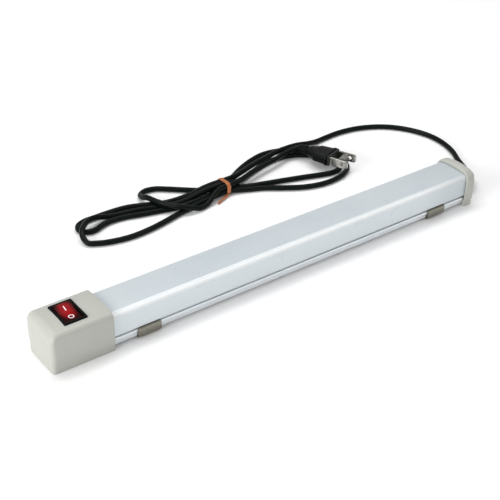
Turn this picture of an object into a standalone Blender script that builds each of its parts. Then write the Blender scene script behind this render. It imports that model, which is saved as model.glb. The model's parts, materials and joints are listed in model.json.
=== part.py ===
"""LED light tube: an aluminium channel with a frosted cover, a long end cap that holds a rocker switch,
a short end cap where the lead comes out, two sliding mounting clips, and the lead tied up in a hank.

Metres, +Z up. X runs along the tube, from the switch end (-X) to the lead end (+X). Y = 0 is the tube's
middle plane, and Z = 0 is the surface that both end caps stand on.
"""

import math

import bmesh
import bpy
from mathutils import Matrix, Vector

MM = 0.001
GAP = 0.3 * MM  # between any two pieces that touch
OVERSHOOT = 1.0 * MM  # how far a cutter runs past what it cuts

# Tube as a whole
LENGTH = 340.0 * MM
SWITCH_CAP_LENGTH = 41.0 * MM
CORD_CAP_LENGTH = 9.5 * MM
CAP_WALL = 1.8 * MM

# Frosted cover and channel, as a section in Y and Z
COVER_HALF = 13.9 * MM
COVER_TOP = 24.9 * MM  # at the edge of the crowned top
COVER_CROWN = 0.6 * MM
COVER_CORNER = 3.5 * MM
COVER_WALL = 1.5 * MM
COVER_FOOT_Z = 8.7 * MM
COVER_RIB = 0.7 * MM  # inward rib that slides in the channel's slot
COVER_RIB_LOW = 10.1 * MM
COVER_RIB_HIGH = 11.1 * MM
TUBE_IN_SWITCH_CAP = 9.0 * MM

BASE_BOTTOM = CAP_WALL + GAP
BASE_BOTTOM_HALF = COVER_HALF - 0.6 * MM
BASE_CORNER = 1.2 * MM
BASE_FLOOR = 1.3 * MM
BASE_WALL_OUT = COVER_HALF - COVER_WALL - GAP
BASE_WALL = 1.6 * MM
BASE_TOP = 15.4 * MM
RAIL_HALF = COVER_HALF - 0.3 * MM
RAIL_LOW = 5.0 * MM
RAIL_HIGH = 7.2 * MM
LEDGE_DEPTH = 0.9 * MM
LEDGE_THICK = 0.8 * MM
LED_BOARD_Z = 13.3 * MM
LED_BOARD_THICK = 1.0 * MM

# End caps
CAP_FOOT_RADIUS = 0.8 * MM
CAP_CREASE = 7.0 * MM  # height where the tapered foot meets the upright side
CAP_HALF = COVER_HALF + GAP + CAP_WALL
CAP_FOOT_HALF = CAP_HALF - 0.7 * MM
SWITCH_CAP_CORNER = 3.4 * MM
CAP_CROWN = 0.8 * MM
CAP_TOP = COVER_TOP + GAP + CAP_WALL
SWITCH_CAP_END_SIDE = 2.6 * MM
SWITCH_CAP_END_TOP = 5.0 * MM
CORD_CAP_CORNER = 7.4 * MM
CORD_CAP_TOP = CAP_TOP + 0.3 * MM
CORD_CAP_END_SIDE = 3.2 * MM
CORD_CAP_END_TOP = 4.2 * MM
CAP_DOME = 0.7 * MM

# Rocker switch
SWITCH_FROM_END = 20.0 * MM
BEZEL_THICK = 1.7 * MM
BEZEL_TOP = CAP_TOP + 1.2 * MM
HOUSING_LENGTH = 18.8 * MM
HOUSING_WIDTH = 13.2 * MM
BEZEL_LIP = 1.1 * MM  # past the housing's ends
BEZEL_SIDE_LIP = 0.9 * MM
BEZEL_LENGTH = HOUSING_LENGTH + 2 * BEZEL_LIP  # across the tube
BEZEL_WIDTH = HOUSING_WIDTH + 2 * BEZEL_SIDE_LIP  # along the tube
HOUSING_WALL = 0.7 * MM
HOUSING_DEPTH = 14.6 * MM  # from the bezel's top to the housing's floor
HOUSING_FLOOR = 1.0 * MM
ROCKER_WIDTH = HOUSING_WIDTH - 2 * HOUSING_WALL - 2 * GAP
ROCKER_END_ROOM = 0.8 * MM  # for the sweep of the rocker's ends
ROCKER_REACH = HOUSING_LENGTH / 2 - HOUSING_WALL - ROCKER_END_ROOM  # from the pivot to each end, at mid travel
ROCKER_RISE = 2.2 * MM  # of each end above the pivot, at mid travel
ROCKER_DIP = 1.2 * MM  # of the middle above the pivot
ROCKER_SKIN = 1.2 * MM
ROCKER_HALF_TRAVEL = math.radians(8.0)
PIVOT_DEPTH = 2.1 * MM  # below the bezel's top
PIVOT_PIN = 1.0 * MM
PLUNGER_RADIUS = 1.3 * MM
PLUNGER_BORE = PLUNGER_RADIUS + GAP
PLUNGER_REACH = 7.6 * MM  # of its tip below the pivot
SPRING_WIRE = 0.2 * MM
CONTACT_LENGTH = 13.0 * MM
CONTACT_WIDTH = 4.0 * MM
CONTACT_THICK = 0.6 * MM
CONTACT_TILT = math.radians(4.0)
TERMINAL_PITCH = 5.8 * MM
TERMINAL_WIDTH = 4.75 * MM
TERMINAL_THICK = 0.8 * MM
TERMINAL_ROOM = 3.6 * MM  # from the cap's floor to the terminals' lower ends
LAMP_RADIUS = 1.2 * MM
LAMP_LENGTH = 7.0 * MM
LAMP_OFFSET = ROCKER_REACH - 2.9 * MM
LAMP_DEPTH = 2.0 * MM  # below the pivot

# Electronics in the channel
LED_COUNT = 18
LED_SIZE = (3.5 * MM, 2.8 * MM, 0.7 * MM)
LED_MARGIN = 12.0 * MM
SHEET_THICK = 0.4 * MM
DRIVER_LENGTH = 106.0 * MM
SHEET_EDGE = 0.8 * MM  # of the insulating sheet past the driver board
DRIVER_THICK = 1.2 * MM
DRIVER_FROM_TUBE_END = 13.0 * MM
WIRE_RADIUS = 0.7 * MM

# Mounting clips
CLIP_WIDTH = 16.0 * MM  # along the tube
CLIP_THICK = 0.6 * MM
CLIP_1_FROM_RIM = 24.6 * MM  # from the switch cap's rim to the clip's middle
CLIP_2_FROM_RIM = 27.5 * MM  # from the cord cap's rim to the clip's middle
CLIP_HOLE = 2.1 * MM

# Lead
CORD_RADIUS = 2.0 * MM
CORD_EXIT_Z = 8.35 * MM
BUSH_BORE = CORD_RADIUS + GAP
BUSH_NECK = BUSH_BORE + 1.4 * MM
BUSH_FLANGE = BUSH_NECK + 0.7 * MM
BUSH_FLANGE_THICK = 1.6 * MM
BUSH_TIP = BUSH_BORE + 0.8 * MM
BUSH_LENGTH = 24.0 * MM
INNER_CORD_LENGTH = 16.0 * MM
RETAINER_RADIUS = BUSH_BORE + 1.3 * MM
RETAINER_THICK = 3.0 * MM

# Plug
PLUG_LENGTH = 30.0 * MM
PLUG_FACE_WIDTH = 19.0 * MM
PLUG_FACE_HEIGHT = 9.6 * MM
PLUG_TAIL_RADIUS = 3.2 * MM
PLUG_INSERT_THICK = 1.4 * MM
BLADE_LENGTH = 17.0 * MM
BLADE_WIDTH = 6.3 * MM
BLADE_THICK = 1.5 * MM
BLADE_PITCH = 12.7 * MM
BLADE_EYE = 1.5 * MM

# Places worked out from the sizes above
SWITCH_END = -LENGTH / 2
CORD_END = LENGTH / 2
SWITCH_RIM = SWITCH_END + SWITCH_CAP_LENGTH
CORD_RIM = CORD_END - CORD_CAP_LENGTH
TUBE_START = SWITCH_RIM - TUBE_IN_SWITCH_CAP
TUBE_STOP = CORD_END - CAP_WALL - CAP_DOME - GAP
SWITCH_X = SWITCH_END + SWITCH_FROM_END
PIVOT_Z = BEZEL_TOP - PIVOT_DEPTH
HOUSING_FLOOR_TOP = BEZEL_TOP - HOUSING_DEPTH
TERMINAL_LOW = CAP_WALL + TERMINAL_ROOM
BASE_FLOOR_TOP = BASE_BOTTOM + BASE_FLOOR
CHANNEL_HALF = BASE_WALL_OUT - BASE_WALL
WIRE_LANE = CHANNEL_HALF - WIRE_RADIUS - 2 * GAP
SHEET_HALF = WIRE_LANE - WIRE_RADIUS - 2 * GAP
CLIP_TOP_OF_PLATE = BASE_BOTTOM - GAP
CLIP_BOTTOM = CLIP_TOP_OF_PLATE - CLIP_THICK

# The lead's route, from where it leaves the end cap, counted from that point along X; heights above the floor
LEAD_ROUTE = (
    (0.0, 0.0, 8.35),
    (6.2, 0.2, 8.3),
    (12.4, 2.1, 7.6),
    (18.3, 6.8, 6.3),
    (24.0, 14.0, 4.7),
    (29.9, 23.4, 3.1),
    (36.0, 35.0, 2.1),
    (42.8, 48.0, 2.1),
    (46.6, 62.0, 2.1),
    (46.6, 77.0, 2.1),
    (42.0, 91.0, 2.1),
    (30.5, 107.0, 2.1),
    (10.0, 119.0, 2.1),
    (-8.5, 122.5, 2.1),
    (-26.0, 121.8, 2.1),
    (-36.0, 120.4, 2.4),
    (-46.0, 119.3, 4.0),
    (-57.0, 118.7, 6.2),
)
# Outer shape of the tied hank's right loops and left loops, each anticlockwise from the tie and back to it,
# counted from the same point
HANK_RIGHT = (
    (-116.0, 81.5),
    (-100.0, 70.5),
    (-86.0, 63.5),
    (-72.0, 60.5),
    (-58.0, 61.0),
    (-47.0, 65.5),
    (-38.0, 71.5),
    (-34.0, 82.0),
    (-36.5, 95.0),
    (-43.0, 106.0),
    (-57.0, 113.5),
    (-57.0, 115.7),
    (-57.0, 121.7),
    (-57.0, 124.5),
    (-72.0, 130.0),
    (-86.0, 131.0),
    (-100.0, 128.0),
    (-116.0, 120.0),
)
HANK_LEFT = (
    (-162.0, 118.0),
    (-172.0, 127.5),
    (-181.0, 133.8),
    (-190.0, 134.5),
    (-197.5, 129.0),
    (-200.0, 122.0),
    (-214.0, 122.5),
    (-228.0, 123.5),
    (-242.0, 124.5),
    (-254.0, 122.0),
    (-260.5, 114.0),
    (-262.0, 103.0),
    (-260.0, 92.0),
    (-253.5, 84.5),
    (-242.0, 80.0),
    (-229.0, 78.5),
    (-214.0, 79.5),
    (-198.0, 83.0),
    (-182.0, 85.5),
    (-166.0, 84.5),
)
HANK_HEIGHT = 4 * CORD_RADIUS + 0.2 * MM
HANK_LOW_HEIGHT = 2 * CORD_RADIUS + 0.3 * MM  # where the plug lies on the runs
HANK_STEP_X = -66.0 * MM
HANK_STEP_Y = 113.3 * MM
HANK_RAISE = 0.1 * MM
TIE_X = -140.0 * MM
TIE_Y = 99.6 * MM
TIE_WIDTH = 3.0 * MM
TIE_THICK = 0.6 * MM
TIE_HALF_SPAN = 3 * CORD_RADIUS + 1.0 * MM  # of the bundle inside the tie
TIE_LIFT = TIE_THICK + 2 * GAP  # of the bundle above the floor, where the tie passes under it
PLUG_TAIL = (-61.5 * MM, 111.3 * MM, HANK_LOW_HEIGHT + PLUG_TAIL_RADIUS + 0.9 * MM)
PLUG_FACE = (-51.5 * MM, 83.0 * MM, HANK_LOW_HEIGHT + PLUG_FACE_HEIGHT / 2 + 0.7 * MM)


def paint(name, colour, roughness, metallic=0.0):
    """A plain Principled material."""
    finish = bpy.data.materials.new(name)
    finish.use_nodes = True
    shader = finish.node_tree.nodes["Principled BSDF"]
    shader.inputs["Base Color"].default_value = (*colour, 1.0)
    shader.inputs["Roughness"].default_value = roughness
    shader.inputs["Metallic"].default_value = metallic
    finish.diffuse_color = (*colour, 1.0)
    return finish


def place(name, bm, finish, cutter=False):
    """Turns a closed bmesh into a named object with its faces pointing out."""
    bmesh.ops.recalc_face_normals(bm, faces=bm.faces)
    mesh = bpy.data.meshes.new(name)
    bm.to_mesh(mesh)
    bm.free()
    obj = bpy.data.objects.new(name, mesh)
    bpy.context.scene.collection.objects.link(obj)
    if cutter:
        obj.hide_render = True
        obj.display_type = "WIRE"
    else:
        mesh.materials.append(finish)
        mesh.shade_smooth()
        mesh.set_sharp_from_angle(angle=math.radians(32))
    return obj


def carve(obj, *cutters, operation="DIFFERENCE"):
    """Cuts the cutters out of obj, or joins them to it."""
    for cutter in cutters:
        step = obj.modifiers.new(cutter.name, "BOOLEAN")
        step.operation = operation
        step.solver = "EXACT"
        step.object = cutter
    return obj


def loft(rings):
    """One closed skin through rings of points, each ring with as many points as the last."""
    bm = bmesh.new()
    made = [[bm.verts.new(point) for point in ring] for ring in rings]
    for first, second in zip(made, made[1:]):
        for i in range(len(first)):
            j = (i + 1) % len(first)
            bm.faces.new((first[i], first[j], second[j], second[i]))
    bm.faces.new(made[0])
    bm.faces.new(made[-1])
    return bm


def prism(outline, axis, low, high):
    """An outline of two coordinates, pushed along the third from low to high."""
    def point(pair, level):
        values = list(pair)
        values.insert("XYZ".index(axis), level)
        return Vector(values)

    return loft([[point(pair, level) for pair in outline] for level in (low, high)])


def block(low, high):
    """A box between two corners."""
    outline = ((low[0], low[1]), (high[0], low[1]), (high[0], high[1]), (low[0], high[1]))
    return prism(outline, "Z", low[2], high[2])


def block_at(centre, size):
    """A box round a centre."""
    half = [s / 2 for s in size]
    return block([c - h for c, h in zip(centre, half)], [c + h for c, h in zip(centre, half)])


def arc(centre, radius, start, stop, steps):
    """Points on an arc, in degrees."""
    turns = (math.radians(start + (stop - start) * i / steps) for i in range(steps + 1))
    return [(centre[0] + radius * math.cos(t), centre[1] + radius * math.sin(t)) for t in turns]


def circle(radius, sides):
    """Points on a circle round zero."""
    return arc((0, 0), radius, 0, 360, sides)[:-1]


def turned(stations, axis, centre, sides=20):
    """A solid of revolution: (distance along the axis, radius) stations, from a centre."""
    rings = []
    for along, radius in stations:
        ring = []
        for pair in circle(radius, sides):
            values = list(pair)
            values.insert("XYZ".index(axis), along)
            ring.append(Vector(values) + Vector(centre))
        rings.append(ring)
    return loft(rings)


def mirrored(half):
    """A closed outline from its right half, listed from the bottom middle to the top middle."""
    return half + [(-y, z) for y, z in reversed(half) if y > 1e-9]


def smooth_path(points, step):
    """Evenly spaced points on a smooth curve through the given ones."""
    points = [Vector(p) for p in points]
    chords = [b - a for a, b in zip(points, points[1:])]
    ways = [chords[0].normalized()]
    for a, b in zip(chords, chords[1:]):
        ways.append((a.normalized() * b.length + b.normalized() * a.length) / (a.length + b.length))
    ways.append(chords[-1].normalized())
    fine = []
    for point, chord, way, next_way in zip(points, chords, ways, ways[1:]):
        for i in range(40):
            t = i / 40
            swing = way * t * (1 - t) ** 2 - next_way * t**2 * (1 - t)
            fine.append(point + chord * t**2 * (3 - 2 * t) + swing * chord.length)
    fine.append(points[-1])
    return stretch(fine, 0.0, None, step)


def stretch(path, start, stop, step):
    """The part of a path between two distances along it, in even steps of about the given length."""
    marks = [0.0]
    for a, b in zip(path, path[1:]):
        marks.append(marks[-1] + (b - a).length)
    stop = marks[-1] if stop is None else stop
    count = max(1, round((stop - start) / step))
    found = []
    i = 0
    for k in range(count + 1):
        mark = start + (stop - start) * k / count
        while i < len(path) - 2 and marks[i + 1] < mark:
            i += 1
        share = (mark - marks[i]) / (marks[i + 1] - marks[i])
        found.append(path[i].lerp(path[i + 1], share))
    return found


def sleeve(path, outer, bore, sides=20):
    """A tapered sleeve round a path, with a hole along it. outer has one radius for each point."""
    across = Vector((0, 1, 0))
    frames = []
    for i, point in enumerate(path):
        along = (path[min(i + 1, len(path) - 1)] - path[max(i - 1, 0)]).normalized()
        across = (across - along * across.dot(along)).normalized()
        frames.append((point, across, along.cross(across)))

    def ring(frame, radius):
        point, side, up = frame
        return [point + side * a + up * b for a, b in circle(radius, sides)]

    skin = [ring(f, r) for f, r in zip(frames, outer)] + [ring(f, bore) for f in reversed(frames)]
    bm = bmesh.new()
    made = [[bm.verts.new(p) for p in r] for r in skin]
    for first, second in zip(made, made[1:] + made[:1]):
        for i in range(sides):
            j = (i + 1) % sides
            bm.faces.new((first[i], first[j], second[j], second[i]))
    return bm


def cord(name, points, radius, finish, sides=2):
    """A round cord or wire along points, with filled ends."""
    curve = bpy.data.curves.new(name, "CURVE")
    curve.dimensions = "3D"
    curve.bevel_depth = radius
    curve.bevel_resolution = sides
    curve.use_fill_caps = True
    spline = curve.splines.new("POLY")
    spline.points.add(len(points) - 1)
    for target, point in zip(spline.points, points):
        target.co = (*point, 1.0)
    curve.materials.append(finish)
    obj = bpy.data.objects.new(name, curve)
    bpy.context.scene.collection.objects.link(obj)
    return obj


def cap_section(top, crown, corner, inset=0.0, lean=0.0, drop=0.0):
    """An end cap's outline in Y and Z: flat foot, tapered lower side, upright side, round corner and
    crowned top. inset is taken off all round, lean off the sides as well, and drop off the top as well."""
    side = CAP_HALF - inset - lean
    base = CAP_FOOT_HALF - inset - lean
    floor = inset
    roof = top - inset - drop
    radius = max(corner - inset, corner * 0.3)
    right = arc((base - CAP_FOOT_RADIUS, floor + CAP_FOOT_RADIUS), CAP_FOOT_RADIUS, -90, 0, 3)
    right.append((side, CAP_CREASE))
    right += arc((side - radius, roof - radius), radius, 0, 90, 8)
    span = side - radius
    right += [(span * (1 - i / 5), roof + crown * (1 - (1 - i / 5) ** 2)) for i in range(1, 6)]
    return mirrored(right)


def rounded_end(end_x, way, section, side_round, top_round):
    """Rings of a cap's domed and rounded end, from the middle of the end face outwards."""
    def slope(radius, depth):
        return radius - math.sqrt(max(0.0, radius**2 - max(0.0, radius - depth) ** 2))

    face = section(lean=side_round, drop=top_round)
    middle = (min(z for _, z in face) + max(z for _, z in face)) / 2
    rings = []
    inner = 0.3
    for share in (inner, 0.62, 0.86):
        depth = CAP_DOME * (share**2 - inner**2) / (1 - inner**2)
        rings.append([(end_x + way * depth, y * share, middle + (z - middle) * share) for y, z in face])
    deepest = max(side_round, top_round)
    for i in range(8):
        depth = deepest * (1 - math.cos(math.pi / 2 * i / 7))
        ring = section(lean=slope(side_round, depth), drop=slope(top_round, depth))
        rings.append([(end_x + way * (CAP_DOME + depth), y, z) for y, z in ring])
    return rings


def at_x(x, outline):
    return [(x, y, z) for y, z in outline]


def make_switch_cap(finish):
    def section(inset=0.0, lean=0.0, drop=0.0, crown=CAP_CROWN):
        return cap_section(CAP_TOP, crown, SWITCH_CAP_CORNER, inset, lean, drop)

    rim_ease = 0.3 * MM
    rings = rounded_end(SWITCH_END, 1, section, SWITCH_CAP_END_SIDE, SWITCH_CAP_END_TOP)
    rings.append(at_x(SWITCH_RIM - rim_ease, section()))
    rings.append(at_x(SWITCH_RIM, section(inset=rim_ease)))
    rings.append(at_x(SWITCH_RIM, section(inset=CAP_WALL)))
    rings.append(at_x(TUBE_START - GAP, section(inset=CAP_WALL)))
    rings.append(at_x(TUBE_START - 2 * MM, section(inset=CAP_WALL, crown=0.0)))
    rings.append(at_x(SWITCH_END + CAP_DOME + SWITCH_CAP_END_TOP, section(inset=CAP_WALL, crown=0.0)))
    rings.append(at_x(SWITCH_END + CAP_DOME + CAP_WALL, section(CAP_WALL, 1.2 * MM, 2.4 * MM, 0.0)))
    cap = place("switch_end_cap", loft(rings), finish)
    hole = block_at(
        (SWITCH_X, 0, CAP_TOP),
        (HOUSING_WIDTH + 2 * GAP, HOUSING_LENGTH + 2 * GAP, 4 * CAP_WALL),
    )
    seat_floor = BEZEL_TOP - BEZEL_THICK - GAP
    seat = block_at(
        (SWITCH_X, 0, seat_floor + BEZEL_THICK),
        (BEZEL_WIDTH + 2 * GAP, BEZEL_LENGTH + 2 * GAP, 2 * BEZEL_THICK),
    )
    return carve(cap, place("cut_switch_hole", hole, None, True), place("cut_bezel_seat", seat, None, True))


def make_cord_cap(finish):
    def section(inset=0.0, lean=0.0, drop=0.0):
        return cap_section(CORD_CAP_TOP, CAP_CROWN, CORD_CAP_CORNER, inset, lean, drop)

    def socket():
        return cap_section(CAP_TOP, COVER_CROWN, COVER_CORNER + GAP + CAP_WALL, CAP_WALL)

    rim_ease = 0.6 * MM
    rings = rounded_end(CORD_END, -1, section, CORD_CAP_END_SIDE, CORD_CAP_END_TOP)
    rings.append(at_x(CORD_RIM + rim_ease, section()))
    rings.append(at_x(CORD_RIM, section(inset=rim_ease)))
    rings.append(at_x(CORD_RIM, socket()))
    rings.append(at_x(TUBE_STOP + GAP, socket()))
    cap = place("cord_end_cap", loft(rings), finish)
    hole = turned(
        ((TUBE_STOP - OVERSHOOT, BUSH_NECK + GAP), (CORD_END + OVERSHOOT, BUSH_NECK + GAP)),
        "X",
        (0, 0, CORD_EXIT_Z),
    )
    return carve(cap, place("cut_cord_hole", hole, None, True))


def make_cover(finish):
    """The frosted cover: crowned top, round corners, straight sides, and a rib inside each lower edge."""
    inner = COVER_HALF - COVER_WALL
    corner = (COVER_HALF - COVER_CORNER, COVER_TOP - COVER_CORNER)
    half = [
        (inner, COVER_FOOT_Z),
        (COVER_HALF, COVER_FOOT_Z),
        *arc(corner, COVER_CORNER, 0, 90, 8),
    ]
    crown = [(i / 4, COVER_TOP + COVER_CROWN * (1 - (i / 4) ** 2)) for i in range(4)]
    half += [(corner[0] * share, z) for share, z in reversed(crown)]
    inside = [(corner[0] * share, z - COVER_WALL) for share, z in crown]
    inside += reversed(arc(corner, COVER_CORNER - COVER_WALL, 0, 90, 5))
    inside += [
        (inner, COVER_RIB_HIGH),
        (inner - COVER_RIB, COVER_RIB_HIGH),
        (inner - COVER_RIB, COVER_RIB_LOW),
        (inner, COVER_RIB_LOW),
    ]
    right_outside = half[1:-1]
    right_inside = inside[1:] + half[:1]
    outline = right_outside + [half[-1]] + [(-y, z) for y, z in reversed(right_outside)]
    outline += [(-y, z) for y, z in reversed(right_inside)] + [inside[0]] + right_inside
    return place("diffuser", prism(outline, "X", TUBE_START, TUBE_STOP), finish)


def make_base(finish):
    """The aluminium channel: floor, clip rails, slots for the cover's ribs, and ledges for the LED board."""
    slot = BASE_WALL_OUT - COVER_RIB
    outer = arc((BASE_BOTTOM_HALF - BASE_CORNER, BASE_BOTTOM + BASE_CORNER), BASE_CORNER, -90, 0, 4)
    outer += [
        (BASE_BOTTOM_HALF, RAIL_LOW - 0.5 * MM),
        (RAIL_HALF, RAIL_LOW),
        (RAIL_HALF, RAIL_HIGH),
        (BASE_WALL_OUT, RAIL_HIGH),
        (BASE_WALL_OUT, COVER_RIB_LOW - GAP),
        (slot, COVER_RIB_LOW - GAP),
        (slot, COVER_RIB_HIGH + GAP),
        (BASE_WALL_OUT, COVER_RIB_HIGH + GAP),
        (BASE_WALL_OUT, BASE_TOP),
    ]
    ledge = CHANNEL_HALF - LEDGE_DEPTH
    board_top = LED_BOARD_Z + LED_BOARD_THICK
    inner = [
        (ledge, BASE_TOP),
        (ledge, board_top + GAP),
        (CHANNEL_HALF, board_top + GAP),
        (CHANNEL_HALF, LED_BOARD_Z - GAP),
        (ledge, LED_BOARD_Z - GAP),
        (ledge, LED_BOARD_Z - GAP - LEDGE_THICK),
        (CHANNEL_HALF, LED_BOARD_Z - GAP - LEDGE_THICK - LEDGE_DEPTH),
        (CHANNEL_HALF, BASE_FLOOR_TOP),
    ]
    right = outer + inner
    outline = right + [(-y, z) for y, z in reversed(right)]
    return place("base_channel", prism(outline, "X", TUBE_START, TUBE_STOP), finish)


def make_switch_housing(finish):
    def rectangle(width, length, z):
        w, l = width / 2, length / 2
        return [(SWITCH_X - w, -l, z), (SWITCH_X + w, -l, z), (SWITCH_X + w, l, z), (SWITCH_X - w, l, z)]

    window = (HOUSING_WIDTH - 2 * HOUSING_WALL, HOUSING_LENGTH - 2 * HOUSING_WALL)
    under = BEZEL_TOP - BEZEL_THICK
    ease = 0.4 * MM
    housing = place(
        "switch_housing",
        loft(
            [
                rectangle(HOUSING_WIDTH, HOUSING_LENGTH, HOUSING_FLOOR_TOP - HOUSING_FLOOR),
                rectangle(HOUSING_WIDTH, HOUSING_LENGTH, under),
                rectangle(BEZEL_WIDTH, BEZEL_LENGTH, under),
                rectangle(BEZEL_WIDTH, BEZEL_LENGTH, BEZEL_TOP - ease),
                rectangle(BEZEL_WIDTH - 2 * ease, BEZEL_LENGTH - 2 * ease, BEZEL_TOP),
                rectangle(*window, BEZEL_TOP),
                rectangle(*window, HOUSING_FLOOR_TOP),
            ]
        ),
        finish,
    )
    pin_hole = turned(
        ((-HOUSING_WIDTH / 2 - OVERSHOOT, PIVOT_PIN + GAP), (HOUSING_WIDTH / 2 + OVERSHOOT, PIVOT_PIN + GAP)),
        "X",
        (SWITCH_X, 0, PIVOT_Z),
    )
    cutters = [place("cut_pin_hole", pin_hole, None, True)]
    for number in (-1, 0, 1):
        size = (TERMINAL_WIDTH + 2 * GAP, TERMINAL_THICK + 2 * GAP, 4 * HOUSING_FLOOR)
        slot = block_at((SWITCH_X, number * TERMINAL_PITCH, HOUSING_FLOOR_TOP), size)
        cutters.append(place(f"cut_terminal_slot_{number + 2}", slot, None, True))
    return carve(housing, *cutters)


def hinged(obj, angle, pivot):
    """Gives obj its origin on its hinge, and its rest angle about X. Its mesh is made round zero."""
    obj.location = pivot
    obj.rotation_euler = (angle, 0, 0)
    return obj


def make_rocker(finish):
    """The rocker at mid travel round its own pivot: two slopes that meet in the middle, round ends, a hollow
    underside, a stem for the sprung plunger and a pin at each side."""
    sweep = math.hypot(ROCKER_REACH, ROCKER_RISE)
    top_angle = math.degrees(math.atan2(ROCKER_RISE, ROCKER_REACH))
    low_angle = -20
    outer = [(0.0, ROCKER_DIP), *reversed(arc((0, 0), sweep, low_angle, top_angle, 8))]
    outer += [(-y, z) for y, z in reversed(outer[1:])]
    inner_radius = sweep - ROCKER_SKIN
    inner_top = math.degrees(math.asin((ROCKER_RISE - ROCKER_SKIN * 1.3) / inner_radius))
    inner_low = math.degrees(math.asin(math.sin(math.radians(low_angle)) * sweep / inner_radius)) - 8
    inner = [(0.0, ROCKER_DIP - ROCKER_SKIN)]
    inner += reversed(arc((0, 0), inner_radius, inner_low, inner_top, 6))
    inner += [(-y, z) for y, z in reversed(inner[1:])]
    half = ROCKER_WIDTH / 2
    hollow_half = half - ROCKER_SKIN
    rocker = place("rocker", prism(outer, "X", -half, half), finish)
    hollow = place("cut_rocker_hollow", prism(inner, "X", -hollow_half, hollow_half), None, True)
    stem_low = -4.5 * MM
    stem = turned(((stem_low, 2.2 * MM), (ROCKER_DIP - ROCKER_SKIN / 2, 2.2 * MM)), "Z", (0, 0, 0))
    pin_half = HOUSING_WIDTH / 2 - 0.2 * MM
    carve(rocker, hollow)
    for name, tool in (
        ("join_stem", stem),
        ("join_pin_1", turned(((-pin_half, PIVOT_PIN), (-hollow_half, PIVOT_PIN)), "X", (0, 0, 0), 16)),
        ("join_pin_2", turned(((hollow_half, PIVOT_PIN), (pin_half, PIVOT_PIN)), "X", (0, 0, 0), 16)),
    ):
        joined = place(name, tool, None, True)
        carve(rocker, joined, operation="UNION")
        hinged(joined, ROCKER_HALF_TRAVEL, (SWITCH_X, 0, PIVOT_Z))
    bore = turned(((stem_low - OVERSHOOT, PLUNGER_BORE), (0.0, PLUNGER_BORE)), "Z", (0, 0, 0), 16)
    bore = place("cut_plunger_bore", bore, None, True)
    carve(rocker, bore)
    for cutter in (hollow, bore):
        hinged(cutter, ROCKER_HALF_TRAVEL, (SWITCH_X, 0, PIVOT_Z))
    return hinged(rocker, ROCKER_HALF_TRAVEL, (SWITCH_X, 0, PIVOT_Z))


def make_plunger(finish):
    centre = PLUNGER_RADIUS - PLUNGER_REACH
    stations = [(centre + z, radius) for z, radius in arc((0, 0), PLUNGER_RADIUS, 162, 90, 4)]
    stations.append((-3.3 * MM, PLUNGER_RADIUS))
    plunger = place("switch_plunger", turned(stations, "Z", (0, 0, 0), 16), finish)
    return hinged(plunger, ROCKER_HALF_TRAVEL, (SWITCH_X, 0, PIVOT_Z))


def make_spring(finish):
    turns = 4
    low, high = -2.7 * MM, -0.6 * MM
    radius = PLUNGER_RADIUS - SPRING_WIRE
    steps = turns * 12
    points = []
    for i in range(steps + 1):
        angle = 2 * math.pi * i / 12
        points.append((radius * math.cos(angle), radius * math.sin(angle), low + (high - low) * i / steps))
    spring = cord("plunger_spring", points, SPRING_WIRE, finish, 1)
    return hinged(spring, ROCKER_HALF_TRAVEL, (SWITCH_X, 0, PIVOT_Z))


CONTACT_Z = PIVOT_Z - PLUNGER_REACH - GAP - CONTACT_THICK


def make_contact(finish):
    """The rocking contact, its origin on the edge that it rocks on, at the middle of its underside."""
    half = CONTACT_LENGTH / 2
    bend = CONTACT_LENGTH / 6
    lift = 0.5 * MM
    under = [(-half, -lift), (-half + bend, 0.0), (half - bend, 0.0), (half, -lift)]
    over = [(y, z + CONTACT_THICK) for y, z in reversed(under)]
    plate = prism(under + over, "X", -CONTACT_WIDTH / 2, CONTACT_WIDTH / 2)
    return hinged(place("rocking_contact", plate, finish), -CONTACT_TILT, (SWITCH_X, 0, CONTACT_Z))


def make_terminals(finish):
    """Common terminal in the middle, switched terminal on the near side, lamp terminal on the far side."""
    end_room = (TERMINAL_PITCH + TERMINAL_THICK) * math.tan(CONTACT_TILT) + 0.5 * MM
    tops = {"terminal_switched": (-1, CONTACT_Z - end_room - GAP)}
    tops["terminal_common"] = (0, CONTACT_Z - GAP)
    tops["terminal_lamp"] = (1, HOUSING_FLOOR_TOP + 0.8 * MM)
    for name, (number, top) in tops.items():
        x, y = SWITCH_X, number * TERMINAL_PITCH
        low = (x - TERMINAL_WIDTH / 2, y - TERMINAL_THICK / 2, TERMINAL_LOW)
        place(name, block(low, (x + TERMINAL_WIDTH / 2, y + TERMINAL_THICK / 2, top)), finish)


def make_lamp(finish):
    round_end = 0.5 * MM
    half = LAMP_LENGTH / 2
    stations = (
        (-half, LAMP_RADIUS - round_end),
        (-half + round_end, LAMP_RADIUS),
        (half - round_end, LAMP_RADIUS),
        (half, LAMP_RADIUS - round_end),
    )
    return place("neon_lamp", turned(stations, "X", (SWITCH_X, LAMP_OFFSET, PIVOT_Z - LAMP_DEPTH), 16), finish)


def make_led_board(board_finish, led_finish):
    half = CHANNEL_HALF - GAP
    start = TUBE_START + 2 * MM
    top = LED_BOARD_Z + LED_BOARD_THICK
    place("led_board", block((start, -half, LED_BOARD_Z), (TUBE_STOP, half, top)), board_finish)
    first = start + LED_MARGIN
    pitch = (TUBE_STOP - LED_MARGIN - first) / (LED_COUNT - 1)
    for i in range(LED_COUNT):
        centre = (first + i * pitch, 0, top + GAP + LED_SIZE[2] / 2)
        place(f"led_{i + 1:02d}", block_at(centre, LED_SIZE), led_finish)


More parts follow.
